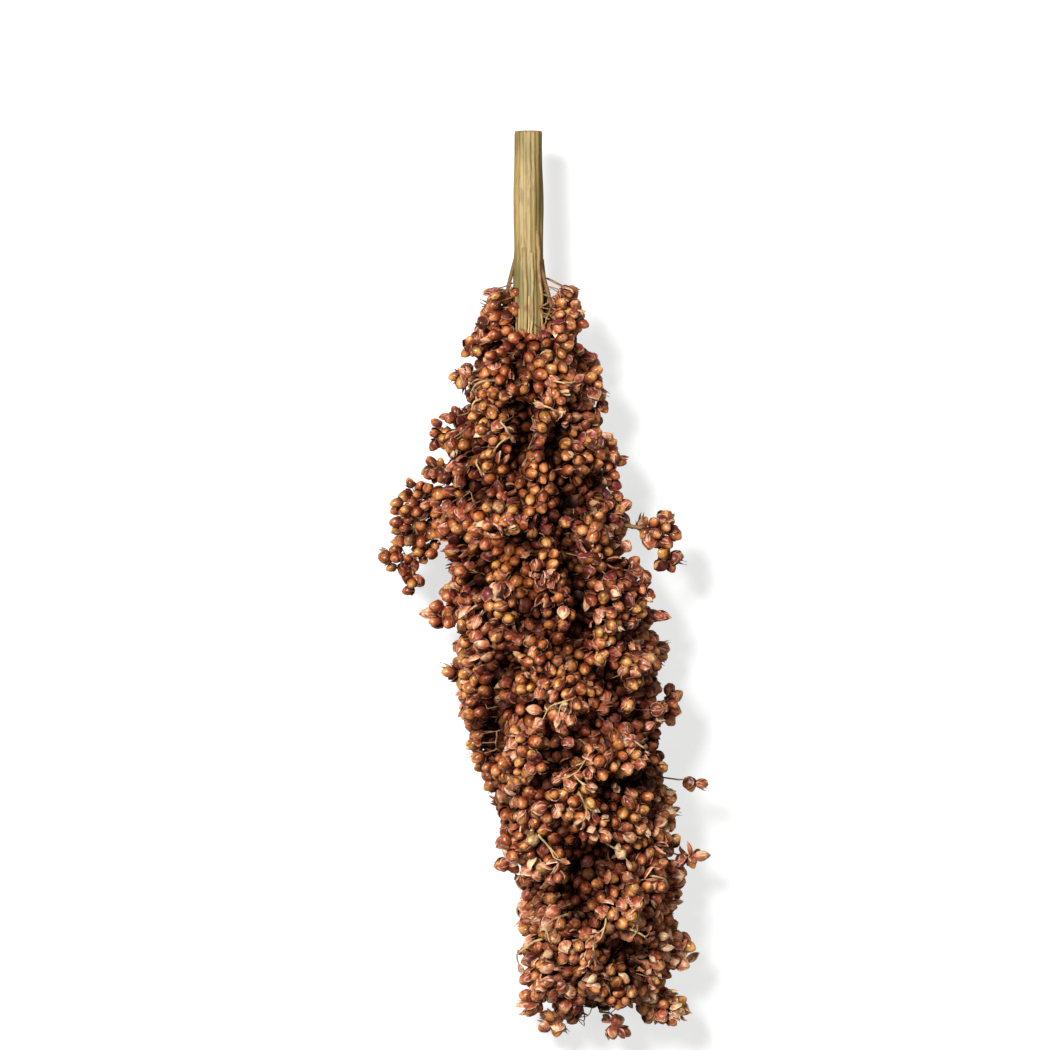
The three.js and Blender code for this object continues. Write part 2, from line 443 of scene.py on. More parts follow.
@dataclass(frozen=True)
class StemFinish:
    """The dry skin of the branch stems: straw on thin twigs, olive brown on the thick ones."""

    thin: tuple = (0.64, 0.46, 0.20)
    thick: tuple = (0.30, 0.25, 0.09)
    worn: tuple = (0.30, 0.11, 0.05)
    streak_size: float = 1.2 * MM
    blotch_size: float = 6 * MM
    ridge_height: float = 0.05 * MM

    def material(self) -> bpy.types.Material:
        """Builds the material."""
        shader = Shader("stem_skin")
        streaks = shader.noise(self.streak_size, 3, stretch=(1, 0.2, 1))
        blotches = shader.noise(self.blotch_size)
        worn = blotches.rise(0.5, 0.66) * 0.7
        thickness = shader.own("thickness")
        skin = shader.layered(self.thin, (thickness, self.thick), (worn, self.worn))
        # painted shade: darker and redder on stems under the spikelets and deep in the head
        skin = shader.shaded(skin, 0.6 + streaks * 0.75)
        return shader.finish(
            streaks,
            self.ridge_height,
            Base_Color=skin,
            Roughness=0.5 + blotches * 0.25,
            Specular_IOR_Level=0.35,
        )


@dataclass(frozen=True)
class StalkFinish:
    """The ribbed straw of the stalk, streaked olive and brown, with a pale pith at its cut."""

    straw: tuple = (0.36, 0.255, 0.085)
    olive: tuple = (0.17, 0.138, 0.036)
    brown: tuple = (0.13, 0.06, 0.022)
    pith: tuple = (0.74, 0.64, 0.44)
    fibre_size: float = 0.7 * MM
    patch_size: float = 12 * MM
    fibre_height: float = 0.12 * MM

    def material(self) -> bpy.types.Material:
        """Builds the material."""
        shader = Shader("stalk_straw")
        fibres = shader.noise(self.fibre_size, 3, stretch=(1, 0.05, 1))
        patches = shader.noise(self.patch_size, 2, stretch=(1, 0.4, 1))
        olive, brown = patches.rise(0.4, 0.65), fibres.rise(0.5, 0.66) * 0.75
        skin = shader.layered(self.straw, (olive, self.olive), (brown, self.brown))
        skin = shader.dimmed(skin, 0.5 + fibres * 0.95)
        skin = shader.mixed(shader.own("cut"), skin, self.pith)
        return shader.finish(
            fibres, self.fibre_height, Base_Color=skin, Roughness=0.45 + patches * 0.2
        )


@dataclass(frozen=True)
class FloorFinish:
    """The plain pale surface under the head."""

    colour: tuple = (0.34, 0.34, 0.34)
    dull: tuple = (0.42, 0.37, 0.32)
    glow: float = 0.7

    def material(self) -> bpy.types.Material:
        """Builds the material, which glows to the camera and gives the head little light."""
        shader = Shader("floor_paper")
        seen = shader.value("ShaderNodeLightPath", "Is Camera Ray")
        return shader.finish(
            shader.noise(2 * MM),
            0.01 * MM,
            Base_Color=shader.mixed(seen, self.dull, self.colour),
            Roughness=0.9,
            Emission_Color=shader.mixed(seen, (0.0, 0.0, 0.0), (1.0, 1.0, 1.0)),
            Emission_Strength=self.glow,
        )


# --- Shapes of one spikelet -------------------------------------------------------------------


def sheet_mesh(name: str, sheets: list[np.ndarray], wraps: bool) -> bpy.types.Mesh:
    """Builds a smooth mesh from grids of places.

    Args:
        name: The mesh's name.
        sheets: Arrays of rows, columns and 3 axes. A row whose places are all the same is a pole.
        wraps: Whether a grid's last column joins its first.

    Returns:
        The mesh, with a pattern map that runs across the columns and along the rows.
    """
    places, faces, spots = [], [], []
    for sheet in sheets:
        rows, columns = sheet.shape[:2]
        first = len(places)
        index = np.arange(first, first + rows * columns).reshape(rows, columns)
        places.extend(sheet.reshape(-1, 3).tolist())
        steps = columns if wraps else columns - 1
        for row in range(rows - 1):
            for column in range(steps):
                after = (column + 1) % columns
                corners = [
                    (index[row, column], column, row),
                    (index[row, after], column + 1, row),
                    (index[row + 1, after], column + 1, row + 1),
                    (index[row + 1, column], column, row + 1),
                ]
                if np.ptp(sheet[row], axis=0).max() < 1e-9:
                    corners.pop(1)
                elif np.ptp(sheet[row + 1], axis=0).max() < 1e-9:
                    corners.pop(2)
                faces.append([corner[0] for corner in corners])
                spots.extend((across / steps, up / (rows - 1)) for _, across, up in corners)
    mesh = bpy.data.meshes.new(name)
    mesh.from_pydata(places, [], faces)
    layer = mesh.uv_layers.new(name=PATTERN_MAP)
    layer.uv.foreach_set("vector", np.array(spots, np.float32).ravel())
    mesh.shade_smooth()
    return mesh


@dataclass
class GrainShape:
    """A grain one unit long, from its base at 0 to its apex at 1 along Z."""

    width: float = 0.85
    thickness: float = 0.77
    fullness: float = 0.62
    lean: float = 0.85
    rows: int = 8
    columns: int = 8

    def half_width(self, height: np.ndarray) -> np.ndarray:
        """Half the grain's width at heights up it."""
        bulge = np.sin(math.pi * np.clip(height, 0, 1) ** self.lean)
        return 0.5 * self.width * np.clip(bulge, 0, 1) ** self.fullness

    def mesh(self, name: str) -> bpy.types.Mesh:
        """Builds the grain's mesh."""
        heights = (1 - np.cos(np.linspace(0, math.pi, self.rows))) / 2
        turns = np.arange(self.columns) / self.columns * math.tau
        radius = self.half_width(heights)[:, None]
        flat = self.thickness / self.width
        up = np.repeat(heights[:, None], self.columns, 1)
        sheet = np.stack([radius * np.cos(turns), radius * np.sin(turns) * flat, up], axis=-1)
        return sheet_mesh(name, [sheet], wraps=True)


@dataclass
class GlumePair:
    """The two husks that clasp a grain from its flat sides, in the grain's units."""

    grain: GrainShape
    cover: float = 0.6
    spread: float = 1.35
    clearance: float = 0.035
    flare: float = 0.05
    curl: float = 0.04
    base_turn: float = math.pi / 2
    rows: int = 5
    columns: int = 5

    def _sheet(self, turn: float, cover: float) -> np.ndarray:
        """The places of one husk, whose middle line is at a turn round the grain."""
        along = np.linspace(0, 1, self.rows)[:, None]
        across = np.linspace(-1, 1, self.columns)[None, :]
        outline = (1 - along**2.1) ** 0.8
        turns = turn + across * self.spread * outline
        heights = along * cover + 0 * across
        held = self.grain.half_width(heights * 0.97 + 0.02)
        lifted = held + self.clearance + self.flare * along**2 + self.curl * np.abs(across) ** 3
        flat = self.grain.thickness / self.grain.width
        return np.stack(
            [lifted * np.cos(turns), lifted * np.sin(turns) * flat, heights], axis=-1
        )

    def mesh(self, name: str) -> bpy.types.Mesh:
        """Builds the mesh of both husks, the second a little shorter."""
        first = self._sheet(self.base_turn, self.cover)
        second = self._sheet(self.base_turn + math.pi, self.cover * 0.93)
        return sheet_mesh(name, [first, second], wraps=False)


class SpikeletShapes:
    """The shapes that the spikelets are made of, in collections for the node trees to pick from."""

    PLAIN = 3

    def __init__(self) -> None:
        """Builds every shape."""
        grain = GrainShape()
        slim = GrainShape(width=0.36, thickness=0.3, fullness=0.9)
        grains = {
            "round": grain,
            "oval": GrainShape(width=0.79, thickness=0.72, lean=0.95),
            "plump": GrainShape(width=0.89, thickness=0.8, fullness=0.56),
            "plain": GrainShape(rows=6, columns=6),
        }
        self.grains = self._collection(
            "grain_shapes", [shape.mesh(f"grain_{name}") for name, shape in grains.items()]
        )
        pairs = {
            Kind.BARE: GlumePair(grain, cover=0.48, spread=1.25, flare=0.05, curl=0.06),
            Kind.CLASPED: GlumePair(grain, cover=0.7, spread=1.42, flare=0.03, curl=0.05, rows=6),
            Kind.CLOSED: GlumePair(grain, cover=1.02, spread=1.6, flare=0.0, curl=0.05, rows=7),
            Kind.EMPTY: GlumePair(grain, cover=1.1, spread=1.1, flare=0.4, curl=-0.1, rows=6),
            Kind.STERILE: GlumePair(slim, cover=1.05, spread=1.6, flare=0.04, curl=0.06),
        }
        self.husks = self._collection(
            "husk_shapes",
            [pair.mesh(f"husk_{kind:d}_{kind.name.lower()}") for kind, pair in pairs.items()],
        )

    @staticmethod
    def _collection(name: str, meshes: list[bpy.types.Mesh]) -> bpy.types.Collection:
        """A collection with an object for each mesh, in their order."""
        collection = bpy.data.collections.new(name)
        for order, mesh in enumerate(meshes):
            collection.objects.link(bpy.data.objects.new(f"{name}_{order}", mesh))
        return collection

    def remove(self) -> None:
        """Deletes the shapes, once the pieces are made."""
        for collection in (self.grains, self.husks):
            for item in list(collection.objects):
                bpy.data.objects.remove(item)
            bpy.data.collections.remove(collection)


# --- Geometry node groups ---------------------------------------------------------------------


class Group(Tree):
    """A geometry node group that turns a piece's plain points into its finished mesh."""

    def __init__(self, name: str, inputs: dict[str, str]) -> None:
        """Starts the group.

        Args:
            name: The group's name.
            inputs: The kind of each input after the geometry, by name.
        """
        group = bpy.data.node_groups.new(name, "GeometryNodeTree")
        super().__init__(group)
        group.is_modifier = True
        sockets = [("Points", "INPUT", "Geometry")]
        sockets += [(label, "INPUT", kind) for label, kind in inputs.items()]
        for label, side, kind in (*sockets, ("Piece", "OUTPUT", "Geometry")):
            group.interface.new_socket(label, in_out=side, socket_type=f"NodeSocket{kind}")
        self.entry = self.add("NodeGroupInput")

    def named(self, name: str, data_type: str) -> bpy.types.NodeSocket:
        """The attribute of that name."""
        settings = {"data_type": data_type}
        node = self.add("GeometryNodeInputNamedAttribute", settings, {"Name": name})
        return node.outputs["Attribute"]

    def end(self, geometry: bpy.types.NodeSocket) -> None:
        """Realises the instances, gives the result its finish and ends the group."""
        real = self.add("GeometryNodeRealizeInstances", inputs={"Geometry": geometry})
        inputs = {"Geometry": real.outputs[0], "Material": self.entry.outputs["Finish"]}
        dressed = self.add("GeometryNodeSetMaterial", inputs=inputs)
        self.add("NodeGroupOutput", inputs={"Piece": dressed.outputs[0]})

    def made(
        self, name: str, points: bpy.types.Mesh, inputs: dict[str, Any]
    ) -> bpy.types.Object:
        """Runs the group on a mesh of points.

        Args:
            name: The finished piece's name.
            points: The mesh that holds the points and their attributes.
            inputs: What each of the group's inputs gets, by name.

        Returns:
            The finished piece, as a plain mesh at the origin.
        """
        source = add_object(f"{name}_points", points)
        modifier = source.modifiers.new("build", "NODES")
        modifier.node_group = self.nodes
        for item in self.nodes.interface.items_tree:
            if item.in_out == "INPUT" and item.name in inputs:
                modifier[item.identifier] = inputs[item.name]
        evaluated = source.evaluated_get(bpy.context.evaluated_depsgraph_get())
        mesh = bpy.data.meshes.new_from_object(evaluated)
        mesh.name = name
        piece = add_object(name, mesh)
        source.modifiers.remove(modifier)
        bpy.data.objects.remove(source)
        return piece


class ScatterGroup(Group):
    """Puts a shape on each point, with the point's own turn and size."""

    RIM = 0.05  # the share of its cell of the map that a shape leaves free on each side

    def __init__(self) -> None:
        """Builds the group."""
        kinds = {"Shapes": "Collection", "Columns": "Int", "Finish": "Material"}
        super().__init__("scatter_shapes", kinds)
        entry = self.entry.outputs
        inputs = {"Collection": entry["Shapes"], "Separate Children": True, "Reset Children": True}
        shapes = self.add("GeometryNodeCollectionInfo", inputs=inputs)
        inputs = {"Euler": self.named("turn", "FLOAT_VECTOR")}
        turn = self.add("FunctionNodeEulerToRotation", inputs=inputs)
        inputs = {
            "Points": entry["Points"],
            "Instance": shapes.outputs[0],
            "Pick Instance": True,
            "Instance Index": self.named("shape", "INT"),
            "Rotation": turn.outputs[0],
            "Scale": self.named("size", "FLOAT_VECTOR"),
        }
        placed = self.add("GeometryNodeInstanceOnPoints", inputs=inputs)
        real = self.add("GeometryNodeRealizeInstances", inputs={"Geometry": placed.outputs[0]})
        self.end(self._mapped(real.outputs[0]))

    def _mapped(self, geometry: bpy.types.NodeSocket) -> bpy.types.NodeSocket:
        """Gives each shape its own cell of a map, so that no two share a place on it."""
        columns = Value(self, self.entry.outputs["Columns"])
        cell = Value(self, self.named("cell", "INT"))
        pattern = self.named(PATTERN_MAP, "FLOAT_VECTOR")
        parts = self.add("ShaderNodeSeparateXYZ", inputs={0: pattern}).outputs
        corners = (cell % columns, (cell / columns).floor())
        spots = [
            (Value(self, part) * (1 - 2 * self.RIM) + self.RIM + corner) / columns
            for part, corner in zip(parts, corners)
        ]
        spot = self.add("ShaderNodeCombineXYZ", inputs=dict(enumerate(spots)))
        settings = {"data_type": "FLOAT2", "domain": "CORNER"}
        inputs = {"Geometry": geometry, "Name": BAKE_MAP, "Value": spot.outputs[0]}
        return self.add("GeometryNodeStoreNamedAttribute", settings, inputs).outputs[0]


class TwigGroup(Group):
    """Gives lines of points a round section, as thick as each point says."""

    def __init__(self) -> None:
        """Builds the group."""
        super().__init__("round_twigs", {"Sides": "Int", "Finish": "Material"})
        entry = self.entry.outputs
        lines = self.add("GeometryNodeMeshToCurve", inputs={"Mesh": entry["Points"]})
        inputs = {"Resolution": entry["Sides"], "Radius": 1.0}
        section = self.add("GeometryNodeCurvePrimitiveCircle", inputs=inputs)
        inputs = {
            "Curve": lines.outputs[0],
            "Profile Curve": section.outputs[0],
            "Scale": self.named("girth", "FLOAT"),
            "Fill Caps": True,
        }
        self.end(self.add("GeometryNodeCurveToMesh", inputs=inputs).outputs[0])


# --- The head ---------------------------------------------------------------------------------


def vertices_of(node: bpy.types.Object) -> np.ndarray:
    """The places of a mesh's vertices."""
    places = np.empty(len(node.data.vertices) * 3, np.float32)
    node.data.vertices.foreach_get("co", places)
    return places.reshape(-1, 3).astype(float)


def faces_of(node: bpy.types.Object) -> list[list[int]]:
    """The corners of a mesh's faces."""
    return [list(face.vertices) for face in node.data.polygons]


class Waves:
    """A smooth random field in space, which spreads by 1 about 0."""

    COUNT = 24

    def __init__(self, seed: int, size: float, stretch: float = 1.0) -> None:
        """Draws the plane waves that the field is the sum of.

        Args:
            seed: What the waves are drawn from.
            size: The usual distance from one rise of the field to the next.
            stretch: How many times longer its rises are along the head.
        """
        rng = np.random.default_rng(seed)
        ways = rng.normal(size=(self.COUNT, 3))
        ways /= np.linalg.norm(ways, axis=1)[:, None]
        self.ways = ways * (math.tau / size) * rng.uniform(0.7, 1.4, self.COUNT)[:, None]
        self.ways[:, 1] /= stretch
        self.starts = rng.uniform(0, math.tau, self.COUNT)

    def at(self, places: np.ndarray) -> np.ndarray:
        """The field at each of some places."""
        waves = np.cos(np.asarray(places) @ self.ways.T + self.starts)
        return waves.sum(-1) * math.sqrt(2 / self.COUNT)


class Rachis:
    """The line of the stalk and of the rachis that it runs on as, from the stalk's node."""

    CUT_LEAN = -1.5 * MM

    def __init__(self, node: bpy.types.Object) -> None:
        """Reads the line from the rings of the stalk's solid."""
        places = vertices_of(node)
        keys = np.round(places[:, 1], 4)
        self.y = np.unique(keys)
        self.centres = np.array([places[keys == key].mean(0) for key in self.y])
        spreads = [
            places[keys == key][:, [0, 2]] - centre[[0, 2]]
            for key, centre in zip(self.y, self.centres)
        ]
        self.radii = np.array([np.linalg.norm(spread, axis=1).max() for spread in spreads])
        self.cut_y = float(self.y[-1])
        self.tip_y = float(self.y[0])
        self.top_of_grains = self.cut_y - BARE_STALK

    def centres_at(self, y: np.ndarray) -> np.ndarray:
        """The middle of the rachis at distances along the head."""
        x, z = (np.interp(y, self.y, self.centres[:, axis]) for axis in (0, 2))
        return np.stack([x, y, z], axis=-1)

    def centre(self, y: float) -> Vector:
        """The middle of the rachis at a distance along the head."""
        return Vector(self.centres_at(np.array(y)))

    def radius(self, y: float) -> float:
        """The rachis's radius at a distance along the head."""
        return float(np.interp(y, self.y, self.radii))

    def outward(self, place: Vector) -> Vector:
        """The direction straight away from the rachis at a place."""
        away = place - self.centre(place.y)
        return away.normalized() if away.length > 1e-6 else UP.copy()

    def place(self, side: float, at: float, height: float) -> Vector:
        """A place in the head.

        Args:
            side: How far to the side of the stalk's line, to +X.
            at: How far down the head from the first grains.
            height: How high above the surface that the head lies on.

        Returns:
            The place.
        """
        line = self.centres[-1][0] - self.CUT_LEAN
        return Vector((line + side, self.top_of_grains - at, height))


class Envelope:
    """The smooth outside of the head, closed over the gaps between its branches."""

    ROW = 2 * MM
    COLUMNS = 120
    REACH = 120 * MM
    WINDOW = 3
    LAST = 244 * MM
    FIRST = -14 * MM

    def __init__(self, surface: BVHTree, rachis: Rachis) -> None:
        """Measures how far the branches' surface reaches on every side of the rachis."""
        self.surface = surface
        self.rachis = rachis
        self.low = rachis.top_of_grains - self.LAST
        high = rachis.top_of_grains - self.FIRST
        rows = int((high - self.low) / self.ROW)
        reach = np.zeros((rows, self.COLUMNS))
        for row in range(rows):
            centre = rachis.centre(self.low + row * self.ROW)
            for column in range(self.COLUMNS):
                way = way_round(column / self.COLUMNS * math.tau)
                gap = surface.ray_cast(centre + way * self.REACH, -way, self.REACH)[3]
                reach[row, column] = 0 if gap is None else self.REACH - gap
        for widest in (True, False, False, True):
            reach = self._spread(reach, widest)
        self.reach = reach

    def _spread(self, reach: np.ndarray, widest: bool) -> np.ndarray:
        """Gives each cell the widest or the narrowest reach of those round it."""
        pick = np.maximum if widest else np.minimum
        steps = range(1, self.WINDOW + 1)
        for axis in (0, 1):
            best = reach
            for step in steps:
                best = pick(best, pick(np.roll(reach, step, axis), np.roll(reach, -step, axis)))
            reach = best
        return reach

    def reach_at(self, places: np.ndarray) -> tuple[np.ndarray, np.ndarray]:
        """How far the outside is from the rachis, and how far each place is."""
        offsets = places - self.rachis.centres_at(places[:, 1])
        away = np.hypot(offsets[:, 0], offsets[:, 2])
        turns = np.arctan2(offsets[:, 2], offsets[:, 0]) / math.tau * self.COLUMNS
        rows = np.clip((places[:, 1] - self.low) / self.ROW, 0, len(self.reach) - 1.001)
        row, column = np.floor(rows).astype(int), np.floor(turns).astype(int)
        up, across = rows - row, turns - column
        column %= self.COLUMNS
        after = (column + 1) % self.COLUMNS
        low = self.reach[row, column] * (1 - across) + self.reach[row, after] * across
        high = self.reach[row + 1, column] * (1 - across) + self.reach[row + 1, after] * across
        return low * (1 - up) + high * up, away

    def depths(self, places: np.ndarray) -> np.ndarray:
        """How deep places lie under the outside, from the side that each is nearest to."""
        reach, away = self.reach_at(places)
        depths = reach - away
        for index in np.nonzero(depths > 0)[0]:
            place = Vector(places[index])
            for way in (TIPWARD, -TIPWARD):
                gap = self.surface.ray_cast(place + way * self.REACH, -way, self.REACH)[3]
                if gap is not None:
                    depths[index] = min(depths[index], self.REACH - gap)
        return depths


class Crowd:
    """The places that spikelets have taken, so that no two stand too close."""

    CELL = 4 * MM

    def __init__(self) -> None:
        """Starts empty."""
        self.cells: dict[tuple[int, int, int], list[tuple[float, float, float]]] = {}

    def settle(self, place: tuple[float, float, float], spacing: float) -> bool:
        """Takes a place, unless another within the spacing is taken already."""
        x, y, z = place
        i, j, k = (math.floor(part / self.CELL) for part in place)
        square = spacing * spacing
        for a, b, c in product((i - 1, i, i + 1), (j - 1, j, j + 1), (k - 1, k, k + 1)):
            for u, v, w in self.cells.get((a, b, c), ()):
                if (u - x) ** 2 + (v - y) ** 2 + (w - z) ** 2 < square:
                    return False
        self.cells.setdefault((i, j, k), []).append(place)
        return True


class Kind(IntEnum):
    """How a spikelet looks, in the order of its husk shapes."""

    BARE = 0
    CLASPED = 1
    CLOSED = 2
    EMPTY = 3
    STERILE = 4


@dataclass
class Spikelet:
    """One grain with its husks, or one empty or sterile husk."""

    middle: Vector
    axis: Vector
    kind: Kind
    length: float
    roll: float
    tint: float
    husk_tint: float
    pale: float
    light: float
    width: float
    plain: bool
    held: bool = False
    hub: Vector | None = None

    @property
    def base(self) -> Vector:
        """Where its stem meets it."""
        return self.middle - self.axis * (self.length / 2)

    @property
    def turn(self) -> Euler:
        """The turn that stands a shape along its axis."""
        roll = Euler((0, 0, self.roll)).to_quaternion()
        return (UP.rotation_difference(self.axis) @ roll).to_euler()

    @property
    def size(self) -> tuple[float, float, float]:
        """Its size along the axes of its shapes."""
        wide = self.length * self.width
        return (wide, wide, self.length)


@dataclass(frozen=True)
class Layer:
    """One layer of spikelets under the outside of the head."""

    shallow: float
    deep: float
    spacing: float
    tries: int
    plain: bool = False


LAYERS = (
    Layer(shallow=0.4 * MM, deep=2.4 * MM, spacing=3.95 * MM, tries=42000),
    Layer(shallow=0.4 * MM, deep=3.0 * MM, spacing=3.35 * MM, tries=52000),
    Layer(shallow=3.0 * MM, deep=6.4 * MM, spacing=3.35 * MM, tries=52000),
    Layer(shallow=6.4 * MM, deep=10 * MM, spacing=3.7 * MM, tries=34000, plain=True),
    Layer(shallow=10 * MM, deep=15 * MM, spacing=4.2 * MM, tries=26000, plain=True),
)


@dataclass(frozen=True)
class Clump:
    """A bunch of spikelets that stands out from the head, in millimetres.

    It lies to the side of the stalk's line, down the head from the first grains and at a height,
    with half its width and half its length. A hung one has its stem from the one before it.
    """

    side: float
    at: float
    height: float
    across: float
    along: float
    spacing: float = 3.35
    ripe: bool = False
    hung: bool = False


CLUMPS = (
    Clump(-17, 2, 30, 3, 3),
    Clump(-21, 10.5, 29, 3.6, 3.2),
    Clump(-24, 19.5, 29, 3, 3.8),
    Clump(-31, 38.5, 26, 4.4, 5.6, ripe=True),
    Clump(-26, 33, 27, 2.8, 4, ripe=True),
    Clump(-32, 50.5, 26, 5, 4.2, ripe=True),
    Clump(-37.5, 61, 25, 9.6, 8, ripe=True),
    Clump(-39.5, 70, 24, 8.8, 6, ripe=True, hung=True),
    Clump(-35, 76, 23, 5.6, 3.4, ripe=True, hung=True),
    Clump(-43, 80, 21, 9.4, 4.8, ripe=True, hung=True),
    Clump(-41, 87, 20, 3.8, 4.6, ripe=True, hung=True),
    Clump(-29, 98, 22, 6.6, 5.2),
    Clump(21, 22, 30, 3, 7),
    Clump(25, 47, 28, 4.4, 9),
    Clump(42, 70.5, 27, 6.8, 6.4, 3.7),
    Clump(36.5, 70.5, 26, 3.2, 4.4, 3.6, hung=True),
    Clump(45, 79.5, 26, 4.2, 5.2, 3.6, hung=True),
    Clump(26, 56, 26, 3.2, 8),
    Clump(28.5, 64, 25, 3, 5),
    Clump(39, 97.5, 26, 4.6, 3.4),
    Clump(38, 121, 25, 4, 5),
    Clump(46, 128, 24, 3.6, 8),
    Clump(44, 158, 24, 4, 3),
    Clump(53, 153.5, 24, 4.4, 2.6, 3.8),
    Clump(45, 173, 23, 4, 4),
    Clump(52.5, 178.5, 22, 6.8, 3.4, 3.6),
    Clump(46.5, 212, 20, 4.8, 4),
    Clump(-8.5, 180, 20, 3.6, 3.6),
    Clump(0.5, 227, 15, 4.4, 5),
    Clump(7, 234, 14, 4.4, 4.6),
    Clump(24, 227, 16, 3.4, 3.4, 4.2),
    Clump(28, 234.5, 16, 4.6, 4, 3.7, hung=True),
    Clump(38, 228, 17, 4.2, 6),
    Clump(45, 227.5, 18, 6.4, 6.8),
)


@dataclass(frozen=True)
class Hollow:
    """A dark gap in the upper side of the head, in millimetres.

    It lies to the side of the stalk's line and down the head from the first grains. It slants to
    the side by its slant for each millimetre down the head.
    """

    side: float
    at: float
    across: float
    along: float
    depth: float
    slant: float = 0.0
    through: bool = False


HOLLOWS = (
    Hollow(0.5, -4, 7.0, 11, 24),
    Hollow(-14, 163, 5, 9, 7, through=True),
    Hollow(43, 138, 5, 6.5, 7, through=True),
    Hollow(-21, 150, 4, 5, 4, through=True),
    Hollow(23.5, 238, 9.5, 13, 14, through=True),
    Hollow(18.5, 232, 4.5, 9, 13, through=True),
    Hollow(35, 233, 4.5, 9, 12, through=True),
    Hollow(51, 199, 5, 6, 6, through=True),
    Hollow(-5, 16, 4, 7.5, 8),
    Hollow(-3, 38, 4, 13, 9, -0.25),
    Hollow(-18, 58, 5, 6.5, 8),
    Hollow(10.5, 73, 4, 27, 9, 0.12),
    Hollow(-7, 114, 4, 5, 8),
    Hollow(24, 119, 6.5, 5, 7, 0.5),
    Hollow(-12, 133, 5, 12, 5),
    Hollow(23, 154, 5, 4, 8),
    Hollow(17, 178, 7.5, 7, 11),
    Hollow(0.5, 189, 4, 8, 6),
    Hollow(28, 206, 6, 7, 6),
    Hollow(-5, 213, 3.5, 5, 5),
)


@dataclass(frozen=True)
class BareTwig:
    """A bare forked twig that lies on the upper side of the head.

    It comes out to the side of the stalk's line and down the head from the first grains, in
    millimetres. Its heading is 0 to the tip and turns to +X, by its curve for each millimetre. It
    is lifted over the middles of the outer spikelets.
    """

    side: float
    at: float
    heading: float
    length: float
    forks: int = 3
    curve: float = 0.0
    lift: float = 2.8
    girth: float = 0.26
    # painted shade: how bright its skin is at most
    light: float = 1.0


BARE_TWIGS = (
    BareTwig(-1, 9, -1.0, 14, forks=0, curve=0.09, lift=0.4, girth=0.42, light=0.5),
    BareTwig(-0.5, 11, -1.0, 14, forks=0, curve=0.09, lift=0.0, girth=0.45, light=0.35),
    BareTwig(-1, 13.5, -0.9, 12, forks=0, curve=0.08, lift=-0.2, girth=0.42, light=0.4),
    BareTwig(30, 137, -2.0, 14, forks=1),
    BareTwig(19, 140, -0.65, 12, forks=1),
    BareTwig(13, 149, -1.1, 7, forks=0),
    BareTwig(12, 148, 0.6, 8, forks=1),
    BareTwig(38, 146, -1.9, 13, forks=1),
    BareTwig(26, 152, -0.7, 12, forks=1),
    BareTwig(-14, 21, -1.5, 8),
    BareTwig(-11, 34, 0.8, 6),
    BareTwig(-6, 39, -0.9, 6),
    BareTwig(-17, 46, 0.5, 7),
    BareTwig(5, 21, 1.3, 6),
    BareTwig(15, 155, 0.2, 9),
    BareTwig(2, 168, 0.4, 11),
    BareTwig(22, 171, 1.0, 9),
    BareTwig(30, 190, 0.5, 12),
    BareTwig(8, 196, -0.6, 10),
    BareTwig(20, 203, 0.2, 9),
    BareTwig(4, 204, -0.6, 9),
    BareTwig(13, 199, -1.2, 11, forks=2),
    BareTwig(31, 200, 0.8, 9),
)


@dataclass
class Look:
    """How the spikelets vary down the head: shares of the kinds, and their colours."""

    kinds_at_top: tuple = (0.42, 0.37, 0.17, 0.04)
    kinds_at_tip: tuple = (0.09, 0.20, 0.57, 0.14)
    kinds_in_ripe: tuple = (0.78, 0.16, 0.06, 0.0)
    husk_tints: tuple = (0.18, 0.26, 0.36, 0.6, 0.74)
    grain_length: float = 5.15 * MM
    sterile_length: float = 4.3 * MM
    sterile_share: float = 0.3
    pale_share: float = 0.03
    # painted shade: how bright the skin is deep in the head, and the depths between which it
    # darkens
    inner_light: float = 0.12
    lit_depth: float = 1.8 * MM
    dark_depth: float = 7.0 * MM

    def kind(self, rng: np.random.Generator, down: float, ripe: bool) -> Kind:
        """Draws a kind for a share of the way down the head, or for a ripe bunch."""
        shares = np.array(self.kinds_at_top) * (1 - down) + np.array(self.kinds_at_tip) * down
        if ripe:
            shares = np.array(self.kinds_in_ripe)
        return Kind(int(rng.choice(len(shares), p=shares / shares.sum())))

    def husk_tint(self, rng: np.random.Generator, kind: Kind, down: float) -> float:
        """Draws the tint of a husk: paler towards the tip."""
        return clipped(self.husk_tints[kind] + rng.normal(0, 0.19) + 0.36 * down**2)

    def light(self, depth: float) -> float:
        """How bright the skin is painted at a depth: painted shade darkens what lies deep inside
        the head.
        """
        share = clipped((depth - self.lit_depth) / (self.dark_depth - self.lit_depth))
        return 1 - (1 - self.inner_light) * share


@dataclass(frozen=True)
class Bunch:
    """A clump in the head, with its branch and where its stem comes from."""

    middle: Vector
    source: Vector
    owner: "Branch"
    ripe: bool


